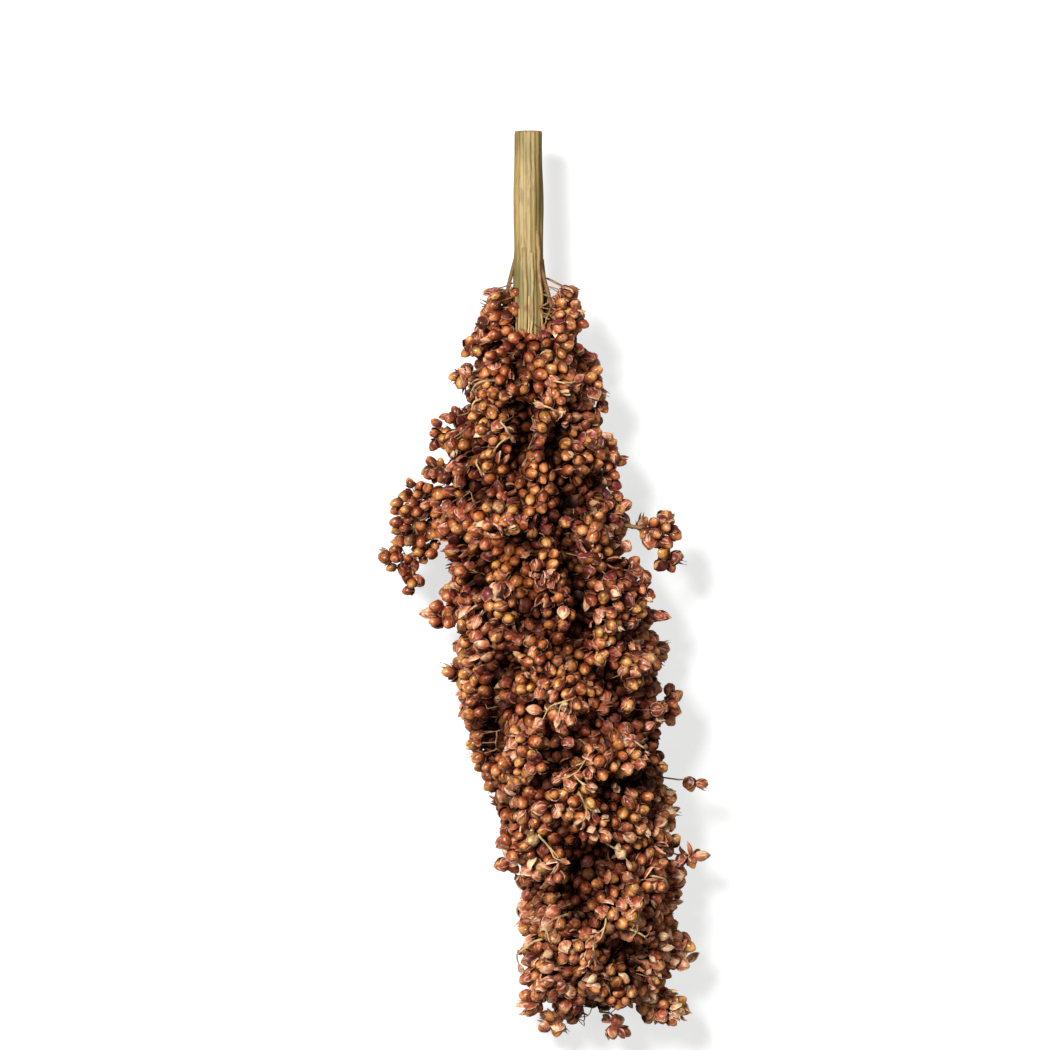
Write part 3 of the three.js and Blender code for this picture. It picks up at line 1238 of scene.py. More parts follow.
class Head:
    """The whole head: where all its spikelets stand, and which branch holds each."""

    RAW = 1_100_000  # how many places are tried
    SEARCH = 38 * MM  # how far from the rachis they are
    SHELL = 22 * MM  # how deep they are, but for those past FULL_FROM down the head
    FULL_FROM = 215 * MM
    OVER = 3 * MM  # how far they are over the outside at most
    FLOOR_GAP = 3.0 * MM  # how high the middle of a spikelet is at least
    GRAINS_FROM = -9 * MM  # where the first of them are down the head
    TAPER_FROM = 219 * MM  # where the head starts to draw in
    # The painted shade counts depths for less at the open ends of the head.
    NECK = 8 * MM  # how much of its upper end gets light from that end
    END_DEPTH = 0.35  # what a depth counts for at the ends
    RELIEF, HEAVES, FURROWS = 2.4 * MM, 2.2 * MM, 6 * MM
    CLUMP_TRIES = 400
    LOOSE = 340
    MORE_TWIGS = 18
    SLENDER = 0.4  # the girth in millimetres under which a twig ends in a husk
    TWIG_GAP = 1.0 * MM  # how high twigs are at least
    TWIG_STEP = 1.3  # in millimetres
    STEEP = 2.2 * MM  # how far a step of a twig leads before it ends there

    def __init__(self, branches: list["Branch"], rachis: Rachis, look: Look) -> None:
        """Joins the branches' surfaces."""
        self.rachis = rachis
        self.look = look
        self.rng = np.random.default_rng(SEED)
        self.crowd = Crowd()
        places, faces, self.owners = [], [], []
        for branch in branches:
            first = len(places)
            places += branch.places.tolist()
            faces += [[first + corner for corner in face] for face in branch.faces]
            self.owners += [branch] * len(branch.faces)
        self.surface = BVHTree.FromPolygons(places, faces)
        self.envelope = Envelope(self.surface, rachis)
        self.bunches = Waves(SEED + 1, 14 * MM, 1.6)
        self.furrows = Waves(SEED + 2, 27 * MM, 2.2)
        self.swirls = [Waves(SEED + 3 + axis, 9 * MM) for axis in range(3)]

    def _relief(self, places: np.ndarray) -> np.ndarray:
        """How far the spikelets' surface lies under the smooth outside at each place."""
        relief = self.RELIEF + self.HEAVES * self.bunches.at(places)
        furrow = np.clip((self.furrows.at(places) - 0.9) / 0.9, 0, 1)
        relief += self.FURROWS * furrow * furrow
        relief += self._taper(places)
        for hollow in HOLLOWS:
            middle = self.rachis.place(hollow.side * MM, hollow.at * MM, 0)
            along = (middle.y - places[:, 1]) / MM
            across = (places[:, 0] - middle.x) / MM - hollow.slant * along
            gap = np.sqrt((across / hollow.across) ** 2 + (along / hollow.along) ** 2)
            share = np.clip(1.35 - gap, 0, 1)
            above = places[:, 2] > self.rachis.centres_at(places[:, 1])[:, 2]
            share *= above | hollow.through
            relief += hollow.depth * MM * share * share * (3 - 2 * share)
        return np.maximum(relief, -2.0 * MM)

    def _taper(self, places: np.ndarray) -> np.ndarray:
        """How much the head draws in at each place, near its tip."""
        down = self.rachis.top_of_grains - places[:, 1]
        return np.clip(down - self.TAPER_FROM, 0, None) * 0.9

    def _raw_places(self) -> tuple[np.ndarray, np.ndarray]:
        """Random places near the outside of the head, and how deep each lies."""
        rng, rachis = self.rng, self.rachis
        y = rng.uniform(self.envelope.low, rachis.top_of_grains - self.GRAINS_FROM, self.RAW)
        turns = rng.uniform(0, math.tau, self.RAW)
        away = self.SEARCH * np.sqrt(rng.random(self.RAW))
        places = rachis.centres_at(y)
        places[:, 0] += away * np.cos(turns)
        places[:, 2] += away * np.sin(turns)
        reach, away = self.envelope.reach_at(places)
        near = (away < reach + self.OVER) & (reach > 0) & (places[:, 2] > self.FLOOR_GAP)
        down = rachis.top_of_grains - places[:, 1]
        near &= (reach - away < self.SHELL) | (down > self.FULL_FROM)
        places = places[near]
        return places, self.envelope.depths(places)

    def fill(self) -> None:
        """Fills the head with spikelets, from its outside in."""
        places, depths = self._raw_places()
        unders = depths - self._relief(places)
        down = self.rachis.top_of_grains - places[:, 1]
        open_end = (self._taper(places) > 0) | (down < self.NECK)
        depths = np.where(open_end, depths * self.END_DEPTH, depths)
        for layer in LAYERS:
            chosen = np.nonzero((unders >= layer.shallow) & (unders < layer.deep))[0][: layer.tries]
            for index in chosen:
                self._offer(places[index], layer.spacing, float(depths[index]), layer.plain)

    def add_clumps(self) -> None:
        """Adds the bunches that stand out from the head."""
        bunch = None
        for clump in CLUMPS:
            middle = np.array(self.rachis.place(clump.side * MM, clump.at * MM, clump.height * MM))
            half = np.array([clump.across, clump.along, min(clump.across, clump.along)]) * MM
            tries = self.rng.normal(size=(self.CLUMP_TRIES, 3))
            tries /= np.linalg.norm(tries, axis=1)[:, None]
            tries *= self.rng.uniform(0.15, 1, (self.CLUMP_TRIES, 1)) ** 0.5
            if clump.hung:
                bunch = replace(bunch, middle=Vector(middle), source=bunch.middle)
            else:
                source = self.rachis.centre(middle[1] + 9 * MM)
                bunch = Bunch(Vector(middle), source, self._owner(middle), clump.ripe)
            bunch.owner.bunches.append(bunch)
            for offset in tries * (half - 0.7 * MM):
                self._offer(middle + offset, clump.spacing * MM, 0.0, False, bunch)

    def add_loose(self) -> None:
        """Adds the spikelets that stick out of the head one by one."""
        turns = self.rng.uniform(0, math.tau, self.LOOSE)
        downs = self.rng.uniform(0, self.TAPER_FROM, self.LOOSE)
        for turn, down in zip(turns, downs):
            lift = self.rng.uniform(0.8, 3.2) * MM
            place = self.surface_place(turn, self.rachis.top_of_grains - down, lift)
            self._offer(np.array(place), 3.3 * MM, 0.0, False)

    def surface_place(self, turn: float, y: float, lift: float) -> Vector:
        """A place above the surface that the outer spikelets' middles lie on.

        Args:
            turn: Its turn round the rachis, from +X towards +Z.
            y: Where it is along the head.
            lift: How far it is above that surface.

        Returns:
            The place.
        """
        centre = self.rachis.centre(y)
        way = way_round(turn)
        outside = centre + way * 30 * MM
        reach = float(self.envelope.reach_at(np.array([outside]))[0][0])
        outside = centre + way * reach
        return outside - way * (float(self._relief(np.array([outside]))[0]) - lift)

    def upper_turn(self, side: float, y: float) -> float:
        """The turn round the rachis of the upper surface at some distance to the side."""
        turns = np.linspace(0.08, 0.92, 60) * math.pi
        places = [self.surface_place(turn, y, 0).x for turn in turns]
        goal = self.rachis.place(side, 0, 0).x
        return float(turns[int(np.argmin(np.abs(np.array(places) - goal)))])

    def add_twigs(self) -> None:
        """Lays bare forked twigs over the outer spikelets."""
        for bare in BARE_TWIGS:
            y = self.rachis.top_of_grains - bare.at * MM
            turn = self.upper_turn(bare.side * MM, y)
            self._lay_twig((turn, y, bare.heading), bare)
        for _ in range(self.MORE_TWIGS):
            turn = self.rng.uniform(0, math.tau)
            y = self.rachis.top_of_grains - self.rng.uniform(10, 200) * MM
            heading = self.rng.normal(0, 0.9)
            bare = BareTwig(0, 0, heading, self.rng.uniform(7, 14), forks=2, lift=2.4)
            self._lay_twig((turn, y, heading), bare)

    def _lay_twig(
        self, at: tuple[float, float, float], bare: BareTwig, root: Vector | None = None
    ) -> None:
        """Lays one twig, with its forks.

        Args:
            at: Its turn round the rachis, its y and its heading where it comes out.
            bare: How it looks.
            root: Where it forks from another twig, if it does.
        """
        rng = self.rng
        steps = max(int(bare.length / self.TWIG_STEP), 3)
        girth = (bare.girth + 0.05 * bare.forks) * MM
        root = root or self.surface_place(at[0], at[1], -5 * MM)
        places, radii = [root], [girth * 1.1]
        for step in range(steps):
            turn, y, heading = at
            lift = (bare.lift + 0.4 * math.sin(step * 1.1 + turn * 5)) * MM
            place = self.surface_place(turn, y, lift)
            if step > 1 and (place - places[-1]).length > self.STEEP:
                break
            places.append(place)
            radii.append(girth * (1.05 - 0.5 * step / steps))
            far = (place - self.rachis.centre(y)).length
            sway = heading + rng.normal(0, 0.09) + bare.curve * self.TWIG_STEP
            way = self.TWIG_STEP * MM
            at = (turn - way * math.sin(sway) / far, y - way * math.cos(sway), sway)
            if bare.forks and step in (steps // 2, steps - 1):
                side = rng.choice((-1, 1)) * rng.uniform(0.5, 0.9)
                arm = replace(bare, length=bare.length * rng.uniform(0.4, 0.7), forks=0)
                self._lay_twig((at[0], at[1], heading + side), arm, place.copy())
        for _ in range(2):
            ways = zip(places, places[1:], places[2:])
            inner = [(before + place * 2 + after) / 4 for before, place, after in ways]
            places = [places[0], *inner, places[-1]]
        for place in places:
            place.z = max(place.z, self.TWIG_GAP)
        owner = self._owner(np.array(places[1]))
        # painted shade: a twig is darker where it sinks below the outer spikelets
        sunk = self._relief(np.array([tuple(place) for place in places])) / MM
        lights = bare.light * np.clip(1.45 - sunk / 9.0, 0.25, 1)
        owner.bare_twigs.append(Twig(places, radii, lights.tolist()))
        before, end = places[-2:]
        if bare.girth < self.SLENDER and rng.random() < 0.6 and end.z > self.FLOOR_GAP:
            owner.tip(end, (end - before).normalized(), self.look)

    def _offer(
        self, place: np.ndarray, spacing: float, depth: float, plain: bool, bunch: Any = None
    ) -> None:
        """Stands a spikelet at a place, if there is room.

        Args:
            place: Where its middle would be.
            spacing: How far it has to be from every other.
            depth: How deep it lies in the head.
            plain: Whether it is so deep that it needs no husks.
            bunch: The bunch that it is in, which it points away from the middle of.
        """
        if place[2] < self.FLOOR_GAP or not self.crowd.settle(tuple(place), spacing):
            return
        swirl = Vector([wave.at(place) for wave in self.swirls])
        owner = bunch.owner if bunch else self._owner(place)
        owner.take(Vector(place), swirl, depth, plain, bunch, self.look)

    def _owner(self, place: np.ndarray) -> "Branch":
        """The branch that is nearest to a place."""
        return self.owners[self.surface.find_nearest(Vector(place))[2]]


@dataclass
class Twig:
    """A line of points with the twig's radius at each."""

    places: list[Vector]
    radii: list[float]
    lights: list[float]


class Growth:
    """The forked stems of one branch, grown from its root to its spikelets."""

    LEAST_RADIUS = 0.17 * MM
    MOST_RADIUS = 1.5 * MM
    THICKENING = 0.43
    DETOUR = 0.2  # how much a point's way from the root counts beside its gap
    LOWEST = 1.2 * MM
    LONG = 2.5 * MM  # the length over which a twig sags

    def __init__(self, trunk: list[Vector]) -> None:
        """Starts with the points of the branch's main stem, from its root."""
        self.places = [place.copy() for place in trunk]
        self.parents = [max(index - 1, 0) for index in range(len(trunk))]
        self.travel = [0.0]
        for before, after in zip(trunk, trunk[1:]):
            self.travel.append(self.travel[-1] + (after - before).length)
        # painted shade: the main stem, deep in the head, is darker
        self.lights = [0.4] * len(trunk)

    def _join(self, place: Vector, parent: int, light: float) -> int:
        """Adds a point after another, and gives its index."""
        place.z = max(place.z, self.LOWEST)
        self.places.append(place)
        self.parents.append(parent)
        self.travel.append(self.travel[parent] + (place - self.places[parent]).length)
        self.lights.append(light)
        return len(self.places) - 1

    def reach(self, elbow: Vector, end: Vector, light: float) -> None:
        """Grows a twig to an end by way of an elbow, from the handiest point.

        Args:
            elbow: Where the twig turns towards its end.
            end: Where it ends.
            light: How bright its skin is painted, lower for painted shade.
        """
        places = np.array(self.places)
        gaps = np.linalg.norm(places - np.array(elbow), axis=1)
        parent = int(np.argmin(gaps + self.DETOUR * np.array(self.travel)))
        start = self.places[parent]
        if (elbow - start).length > self.LONG:
            sag = (elbow + start) / 2 + (start - elbow).cross(UP) * 0.06
            parent = self._join(sag, parent, light)
        bend = self._join(elbow, parent, light)
        self._join(end, bend, light)

    def twigs(self) -> list[Twig]:
        """Cuts the growth into smooth twigs that thicken towards the root."""
        count = len(self.places)
        children: list[list[int]] = [[] for _ in range(count)]
        for index in range(1, count):
            children[self.parents[index]].append(index)
        load = [0] * count
        for index in range(count - 1, -1, -1):
            load[index] = load[index] or (0 if children[index] else 1)
            if index:
                load[self.parents[index]] += load[index]
        least, most = self.LEAST_RADIUS, self.MOST_RADIUS
        radius = [min(least * max(held, 1) ** self.THICKENING, most) for held in load]
        made, starts = [], [(0, None)]
        while starts:
            index, before = starts.pop()
            line = [] if before is None else [before]
            line.append(index)
            while children[index]:
                ordered = sorted(children[index], key=lambda child: -load[child])
                starts.extend((child, index) for child in ordered[1:])
                index = ordered[0]
                line.append(index)
            own = [radius[point] for point in line]
            if before is not None:
                own[0] = own[1]
            made.append(self._smooth(line, own))
        return made

    def _smooth(self, line: list[int], radii: list[float]) -> Twig:
        """A twig through some of the points, with a point more between each two of them."""
        corners = [self.places[index] for index in line]
        places, girths, lights = [], [], []
        around = [corners[0], *corners, corners[-1]]
        for step, (p0, p1, p2, p3) in enumerate(zip(around, corners, corners[1:], around[3:])):
            middle = (p1 + p2) * 0.5625 - (p0 + p3) * 0.0625
            places += [p1, middle]
            girths += [radii[step], (radii[step] + radii[step + 1]) / 2]
            lights += [self.lights[line[step + 1]]] * 2
        places.append(corners[-1])
        girths.append(radii[-1])
        lights.append(self.lights[line[-1]])
        return Twig(places, girths, lights)


class Points:
    """A mesh of loose points or lines, with attributes for a node group to read."""

    def __init__(self, name: str, places: list[Vector], edges: list[tuple[int, int]]) -> None:
        """Builds the mesh."""
        self.mesh = bpy.data.meshes.new(name)
        self.mesh.from_pydata([tuple(place) for place in places], edges, [])

    def give(self, name: str, values: list[Any], kind: str = "FLOAT") -> None:
        """Gives each point a number, or a value of another kind: INT or FLOAT_VECTOR."""
        key = "vector" if kind == "FLOAT_VECTOR" else "value"
        packed = np.array(values, np.int32 if kind == "INT" else np.float32).ravel()
        self.mesh.attributes.new(name, kind, "POINT").data.foreach_set(key, packed)


def twig_points(name: str, twigs: list[Twig]) -> Points:
    """Puts twigs in one mesh of lines, for a node group to make round.

    Args:
        name: The mesh's name.
        twigs: The twigs.

    Returns:
        The mesh, with the attributes that the group and the finish read.
    """
    places, edges, radii, lights = [], [], [], []
    for twig in twigs:
        first = len(places)
        places += twig.places
        radii += twig.radii
        lights += twig.lights
        edges += [(first + step, first + step + 1) for step in range(len(twig.places) - 1)]
    points = Points(name, places, edges)
    points.give("girth", radii)
    points.give("thickness", [min(radius / THICK, 1) for radius in radii])
    points.give("light", lights)
    return points


class Branch:
    """One branch of the head: its spikelets, and the stems that hold them."""

    LOW = 3.0 * MM  # sterile spikelets are no lower, and under twice this height all lie level
    LENGTH = 0.235  # the length of the head
    BESIDE = 2.3  # how far beside its grain a sterile spikelet stands, in millimetres

    def __init__(self, node: bpy.types.Object, order: int, rachis: Rachis) -> None:
        """Reads the space that the branch fills from its node.

        Args:
            node: The branch's node in the frame.
            order: Its place among the branches, which seeds what is random in it.
            rachis: The rachis that it grows from.
        """
        self.name = node.name
        self.rachis = rachis
        self.rng = np.random.default_rng(SEED + 100 + order)
        self.places, self.faces = vertices_of(node), faces_of(node)
        gaps = np.linalg.norm(self.places - rachis.centres_at(self.places[:, 1]), axis=1)
        self.root = Vector(self.places[int(np.argmin(gaps))])
        self.tone = self.rng.normal(0, 0.08)
        self.spikelets: list[Spikelet] = []
        self.bunches: list[Bunch] = []
        self.bare_twigs: list[Twig] = []

    def tip(self, place: Vector, axis: Vector, look: Look) -> None:
        """Ends a bare twig in an empty or a sterile husk."""
        kind = Kind.EMPTY if self.rng.random() < 0.3 and place.z > self.LOW * 2 else Kind.STERILE
        length = look.sterile_length * self.rng.uniform(0.6, 0.95)
        husk_tint = clipped(self.rng.normal(0.75, 0.15))
        axis = self._level(axis, place)
        middle = place + axis * length * 0.4
        roll = self.rng.uniform(0, math.tau)
        self.spikelets.append(
            Spikelet(middle, axis, kind, length, roll, 0.5, husk_tint, 0.0, 0.9, 1.0, False, True)
        )

    def take(
        self, place: Vector, swirl: Vector, depth: float, plain: bool, bunch: Any, look: Look
    ) -> None:
        """Grows a spikelet at a place.

        Args:
            place: The spikelet's middle.
            swirl: A direction that it leans to, with those round it.
            depth: How deep it lies in the head.
            plain: Whether it needs no husks.
            bunch: The bunch that it is in, if it is in one.
            look: How spikelets vary.
        """
        rng = self.rng
        down = clipped((self.rachis.top_of_grains - place.y) / self.LENGTH)
        aim = self.rachis.outward(place) * 0.8 + TIPWARD * 0.3 + swirl * 0.28
        if bunch is not None:
            aim += (place - bunch.middle).normalized() * 1.1
        axis = self._level(aim + Vector(rng.normal(0, 0.32, 3)), place)
        ripe = bunch is not None and bunch.ripe
        kind = Kind.BARE if plain else look.kind(rng, down, ripe)
        if kind is Kind.EMPTY and place.z < self.LOW * 2:
            kind = Kind.CLOSED
        own = Spikelet(
            middle=place,
            axis=axis,
            kind=kind,
            length=look.grain_length * rng.uniform(0.84, 1.1) * (0.9 if ripe else 1),
            roll=rng.uniform(0, math.tau),
            tint=clipped(0.32 + self.tone + rng.normal(0, 0.26) + 0.06 * down),
            husk_tint=look.husk_tint(rng, kind, down),
            pale=float(rng.random() < look.pale_share) * rng.uniform(0.3, 0.9),
            # painted shade: deep spikelets get less light, and those in ripe bunches a little less
            light=look.light(depth) * (0.82 if ripe else 1),
            width=rng.uniform(0.88, 1.04),
            plain=plain,
            hub=bunch.middle if bunch else None,
        )
        self.spikelets.append(own)
        if not plain and rng.random() < look.sterile_share:
            beside = axis.orthogonal()
            beside.rotate(Euler((0, 0, own.roll)))
            beside = (beside - axis * beside.dot(axis)).normalized()
            middle = place + beside * self.BESIDE * MM + axis * 0.5 * MM
            middle.z = max(middle.z, self.LOW)
            self.spikelets.append(
                replace(
                    own,
                    middle=middle,
                    axis=self._level(axis + beside * 0.5, middle),
                    kind=Kind.STERILE,
                    length=look.sterile_length * rng.uniform(0.8, 1.15),
                    husk_tint=look.husk_tint(rng, Kind.STERILE, down),
                )
            )

    def _level(self, aim: Vector, place: Vector) -> Vector:
        """The axis of a spikelet with that aim, which lies level where it is near the ground."""
        axis = aim.normalized()
        if place.z < self.LOW * 2:
            axis.z = max(axis.z, 0.6 * (self.LOW - place.z) / self.LOW)
        return axis.normalized()

    def _trunk(self) -> list[Vector]:
        """The main stem, from the rachis to the middle of the outer spikelets."""
        start = self.rachis.centre(self.root.y + 3 * MM)
        middles = np.array([spikelet.middle for spikelet in self.spikelets])
        goal = Vector(middles.mean(0))
        goal -= self.rachis.outward(goal) * 4 * MM
        bend = self.root.lerp(goal, 0.5) + self.rachis.outward(self.root) * -1 * MM
        steps = max(int((goal - start).length / (4 * MM)), 3)
        line = []
        for step in range(steps + 1):
            t = step / steps
            line.append(start * (1 - t) ** 2 + bend * (2 * t * (1 - t)) + goal * t**2)
        return line

    def stems(self) -> list[Twig]:
        """Grows the stems that hold the spikelets."""
        growth = Growth(self._trunk())
        for bunch in self.bunches:
            middle, source = bunch.middle, bunch.source
            # painted shade: the stems of the bunches are darker
            growth.reach(middle.lerp(source, 0.5), middle.lerp(source, 0.12), 0.55)
        outer = [one for one in self.spikelets if not one.plain and not one.held]
        for spikelet in sorted(outer, key=lambda one: (one.base - self.root).length):
            back = spikelet.axis * self.rng.uniform(1.5, 3.2) * MM
            elbow = spikelet.base - back - self.rachis.outward(spikelet.base) * 2.6 * MM
            if spikelet.hub:
                elbow = spikelet.base.lerp(spikelet.hub, 0.45) - spikelet.axis * 0.6 * MM
            # painted shade: a stem runs under its spikelet and is darker than it
            light = spikelet.light * 0.55
            growth.reach(elbow, spikelet.base + spikelet.axis * 0.2 * MM, light)
        return growth.twigs() + self.bare_twigs


@dataclass
class BranchPieces:
    """Makes the finished pieces of the branches."""

    shapes: SpikeletShapes
    scatter: ScatterGroup
    twigs: TwigGroup
    grain: bpy.types.Material
    husk: bpy.types.Material
    stem: bpy.types.Material
    twig_sides: int = 5

    def build(self, branch: Branch) -> None:
        """Makes the grains, the husks and the stems of a branch."""
        if not branch.spikelets:
            LOG.warning("%s has no spikelets", branch.name)
        grains = [s for s in branch.spikelets if s.kind <= Kind.CLOSED]
        rounds = [
            self.shapes.PLAIN if s.plain else int(branch.rng.integers(self.shapes.PLAIN))
            for s in grains
        ]
        tints = [s.tint for s in grains]
        self._scatter(branch, "grains", grains, rounds, tints, (self.shapes.grains, self.grain))
        husks = [s for s in branch.spikelets if not s.plain]
        kinds, tints = [int(s.kind) for s in husks], [s.husk_tint for s in husks]
        self._scatter(branch, "husks", husks, kinds, tints, (self.shapes.husks, self.husk))
        name = f"{branch.name}_stems"
        inputs = {"Sides": self.twig_sides, "Finish": self.stem}
        points = twig_points(name, branch.stems())
        keep(self.twigs.made(name, points.mesh, inputs), branch.name)

    def _scatter(
        self,
        branch: Branch,
        part: str,
        spikelets: list[Spikelet],
        shapes: list[int],
        tints: list[float],
        source: tuple[bpy.types.Collection, bpy.types.Material],
    ) -> None:
        """Makes one piece of shapes that stand at spikelets.

        Args:
            branch: The branch that the piece is part of.
            part: What the piece is, which is also the end of its name.
            spikelets: The spikelets to put shapes at.
            shapes: Which shape each gets.
            tints: Each one's tint.
            source: The shapes' collection and their finish.
        """
        name = f"{branch.name}_{part}"
        points = Points(name, [one.base for one in spikelets], [])
        points.give("shape", shapes, "INT")
        points.give("cell", list(range(len(spikelets))), "INT")
        points.give("turn", [tuple(one.turn) for one in spikelets], "FLOAT_VECTOR")
        points.give("size", [one.size for one in spikelets], "FLOAT_VECTOR")
        points.give("tint", tints)
        points.give("pale", [one.pale for one in spikelets])
        points.give("light", [one.light for one in spikelets])
        columns = max(math.ceil(math.sqrt(len(spikelets))), 1)
        inputs = {"Shapes": source[0], "Columns": columns, "Finish": source[1]}
        keep(self.scatter.made(name, points.mesh, inputs), branch.name)


# --- The stalk --------------------------------------------------------------------------------


@dataclass
class Stalk:
    """The ribbed stalk, which runs on as the rachis, with its cut end."""

    rachis: Rachis
    ribs: int = 17
    rib_height: float = 0.045
    columns: int = 68
    ring_spacing: float = 2.2 * MM
    cut_edge: float = 0.97
    cut_rim: float = 0.86
    pith_share: float = 0.5
    pith_hollow: float = 0.6 * MM
    strand_count: int = 15
    strand_steps: int = 12
    strand_sides: int = 8

    def _ring(self, y: float, share: float, sink: float) -> np.ndarray:
        """One ring of the stalk.

        Args:
            y: Where it is along the head.
            share: Its radius, as a share of the stalk's there.
            sink: How far it is moved towards the tip.

        Returns:
            The ring's places.
        """
        centre, radius = self.rachis.centre(y), self.rachis.radius(y) * share
        turns = np.arange(self.columns) / self.columns * math.tau
        ribs = 1 + self.rib_height * np.cos(turns * self.ribs + 0.6 * math.sin(y * 90))
        uneven = 1 + 0.035 * np.sin(2 * turns + y * 60) + 0.02 * np.sin(5 * turns - y * 140)
        swell = 1 + 0.03 * math.sin(y * 210)
        reach = radius * ribs * uneven * swell
        x, z = centre.x + reach * np.cos(turns), centre.z - reach * np.sin(turns)
        return np.stack([x, np.full(self.columns, y - sink), z], axis=-1)

    def _pole(self, place: Vector) -> np.ndarray:
        """A ring whose places are all the same."""
        return np.repeat(np.array([tuple(place)]), self.columns, 0)

    def build(self, finish: bpy.types.Material) -> None:
        """Makes the stalk in one closed piece."""
        top, tip = self.rachis.cut_y, self.rachis.tip_y
        steps = int((top - tip) / self.ring_spacing)
        rings = [self._pole(self.rachis.centre(tip))]
        rings += [self._ring(y, 1.0, 0) for y in np.linspace(tip + 1 * MM, top - 1 * MM, steps)]
        cut = ((self.cut_edge, 0), (self.cut_rim, 0), (self.pith_share, self.pith_hollow))
        rings += [self._ring(top, share, sink) for share, sink in cut]
        rings.append(self._pole(self.rachis.centre(top) + TIPWARD * self.pith_hollow))
        mesh = sheet_mesh("stalk_straw", [np.array(rings)], wraps=True)
        mesh.materials.append(finish)
        self._mark_cut(mesh, len(rings))
        keep(add_object("stalk_straw", mesh), "stalk")

    def strands(self, twigs: TwigGroup, finish: bpy.types.Material) -> None:
        """Makes the feet of the first branches, which run down along the stalk.

        Args:
            twigs: The node group that makes round stems.
            finish: The stems' finish.
        """
        rng = np.random.default_rng(SEED + 7)
        made = []
        for strand in range(self.strand_count):
            turn = strand / self.strand_count * math.tau + rng.normal(0, 0.15)
            start = self.rachis.top_of_grains + rng.uniform(4, 30) * MM
            length = rng.uniform(24, 40) * MM
            girth = rng.uniform(0.35, 1.05) * MM
            places, radii = [], []
            for step in range(self.strand_steps):
                share = step / (self.strand_steps - 1)
                y = start - length * share
                lift = (min(share * 4, 1) * 0.75 + share**2 * rng.uniform(1.4, 3)) * girth
                away = self.rachis.radius(y) * 1.03 + lift - girth * 0.9
                turn += rng.normal(0, 0.035)
                places.append(self.rachis.centre(y) + way_round(turn) * away)
                radii.append(girth * (1.1 - 0.35 * share))
            made.append(Twig(places, radii, [rng.uniform(0.5, 1.0)] * len(places)))
        name, inputs = "stalk_strands", {"Sides": self.strand_sides, "Finish": finish}
        keep(twigs.made(name, twig_points(name, made).mesh, inputs), "stalk")

    def _mark_cut(self, mesh: bpy.types.Mesh, rings: int) -> None:
        """Marks the vertices of the cut end, for the finish to show the pith there."""
        marks = np.zeros(len(mesh.vertices), np.float32)
        marks[(rings - 3) * self.columns :] = 1
        mesh.attributes.new("cut", "FLOAT", "POINT").data.foreach_set("value", marks)


# --- The studio -------------------------------------------------------------------------------


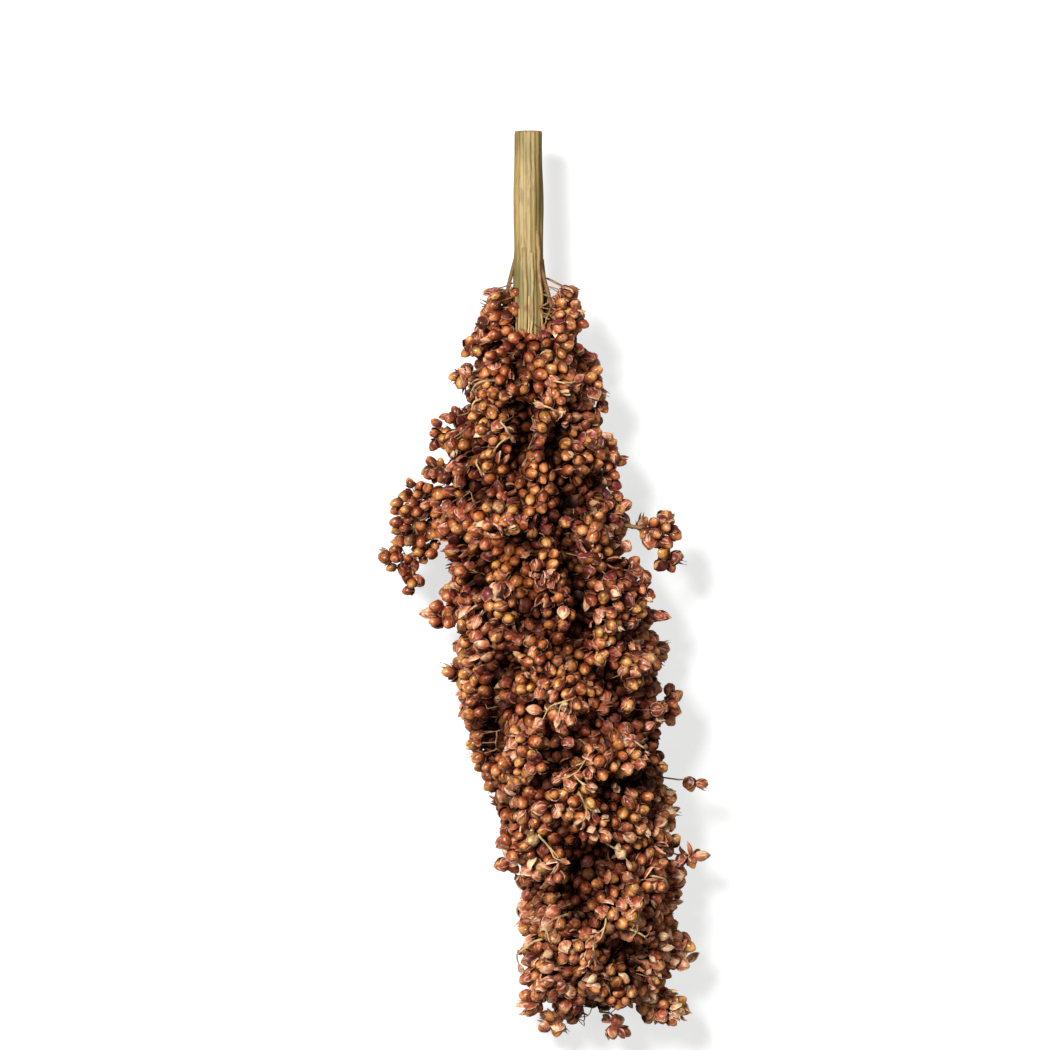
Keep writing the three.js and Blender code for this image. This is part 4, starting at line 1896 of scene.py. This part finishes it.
@dataclass
class Studio:
    """A white floor, soft lamps and a camera that looks straight down on the head."""

    rachis: Rachis
    view_width: float = 346.5 * MM
    view_right_of_stalk: float = -1.14 * MM
    view_below_grains: float = 68.3 * MM
    mid_height: float = 26 * MM
    distance: float = 1.5
    floor_size: float = 1.6
    sky_colour: tuple = (1, 0.85, 0.7)
    sky_strength: float = 0.04

    def build(self) -> None:
        """Adds the floor, the lamps and the camera."""
        self._floor()
        self._camera()
        self._lamp("key", (-0.5, 0.5, 1.2), 0.34, 30)
        self._lamp("fill", (0.5, -0.3, 1.3), 0.7, 4)
        self._world()

    def _floor(self) -> None:
        """Adds the surface that the head lies on."""
        half = self.floor_size / 2
        mesh = bpy.data.meshes.new("floor")
        corners = [(-half, -half, 0), (half, -half, 0), (half, half, 0), (-half, half, 0)]
        mesh.from_pydata(corners, [], [(0, 1, 2, 3)])
        mesh.materials.append(FloorFinish().material())
        add_object("floor", mesh)

    def _camera(self) -> None:
        """Adds the camera, with a long lens."""
        camera = add_object("camera", bpy.data.cameras.new("camera"))
        end = self.rachis.centre(self.rachis.cut_y)
        camera.location = (
            end.x + self.view_right_of_stalk,
            self.rachis.top_of_grains - self.view_below_grains,
            self.mid_height + self.distance,
        )
        camera.data.lens = camera.data.sensor_width * self.distance / self.view_width
        camera.data.clip_end = 10
        bpy.context.scene.camera = camera

    @staticmethod
    def _lamp(name: str, place: tuple, size: float, power: float) -> None:
        """Adds a soft square lamp that faces the origin."""
        lamp = add_object(name, bpy.data.lights.new(name, "AREA"))
        lamp.data.size = size
        lamp.data.energy = power
        lamp.location = place
        lamp.rotation_euler = (-Vector(place)).to_track_quat("-Z", "Y").to_euler()

    def _world(self) -> None:
        """Lights the scene evenly from all round, white to the camera, and keeps colours plain."""
        world = bpy.data.worlds.new("studio")
        world.use_nodes = True
        tree = Tree(world.node_tree)
        seen = tree.add("ShaderNodeLightPath").outputs["Is Camera Ray"]
        white = (*[1 / self.sky_strength] * 3, 1)
        colours = {"Factor": seen, 6: (*self.sky_colour, 1), 7: white}
        colour = tree.add("ShaderNodeMix", {"data_type": "RGBA"}, colours).outputs[2]
        light = {"Color": colour, "Strength": self.sky_strength}
        sky = tree.add("ShaderNodeBackground", inputs=light)
        tree.add("ShaderNodeOutputWorld", inputs={"Surface": sky.outputs[0]})
        scene = bpy.context.scene
        scene.world = world
        scene.view_settings.view_transform = "Standard"


def main() -> None:
    """Builds the head and its studio, and reports each piece."""
    logging.basicConfig(level=logging.INFO, format="%(message)s")
    rachis = Rachis(frame["nodes"]["stalk"])
    names = sorted(
        (name for name in frame["nodes"] if name != "stalk"),
        key=lambda name: [int(part) for part in name.split("_") if part.isdigit()],
    )
    nodes = [frame["nodes"][name] for name in names]
    branches = [Branch(node, order, rachis) for order, node in enumerate(nodes)]
    head = Head(branches, rachis, Look())
    head.fill()
    head.add_clumps()
    head.add_loose()
    head.add_twigs()
    shapes = SpikeletShapes()
    finishes = [kind().material() for kind in (GrainFinish, HuskFinish, StemFinish)]
    pieces = BranchPieces(shapes, ScatterGroup(), TwigGroup(), *finishes)
    for branch in branches:
        pieces.build(branch)
    shapes.remove()
    stalk = Stalk(rachis)
    stalk.build(StalkFinish().material())
    stalk.strands(pieces.twigs, pieces.stem)
    Studio(rachis).build()
    LOG.info("%d spikelets", sum(len(branch.spikelets) for branch in branches))


if __name__ == "__main__":
    main()
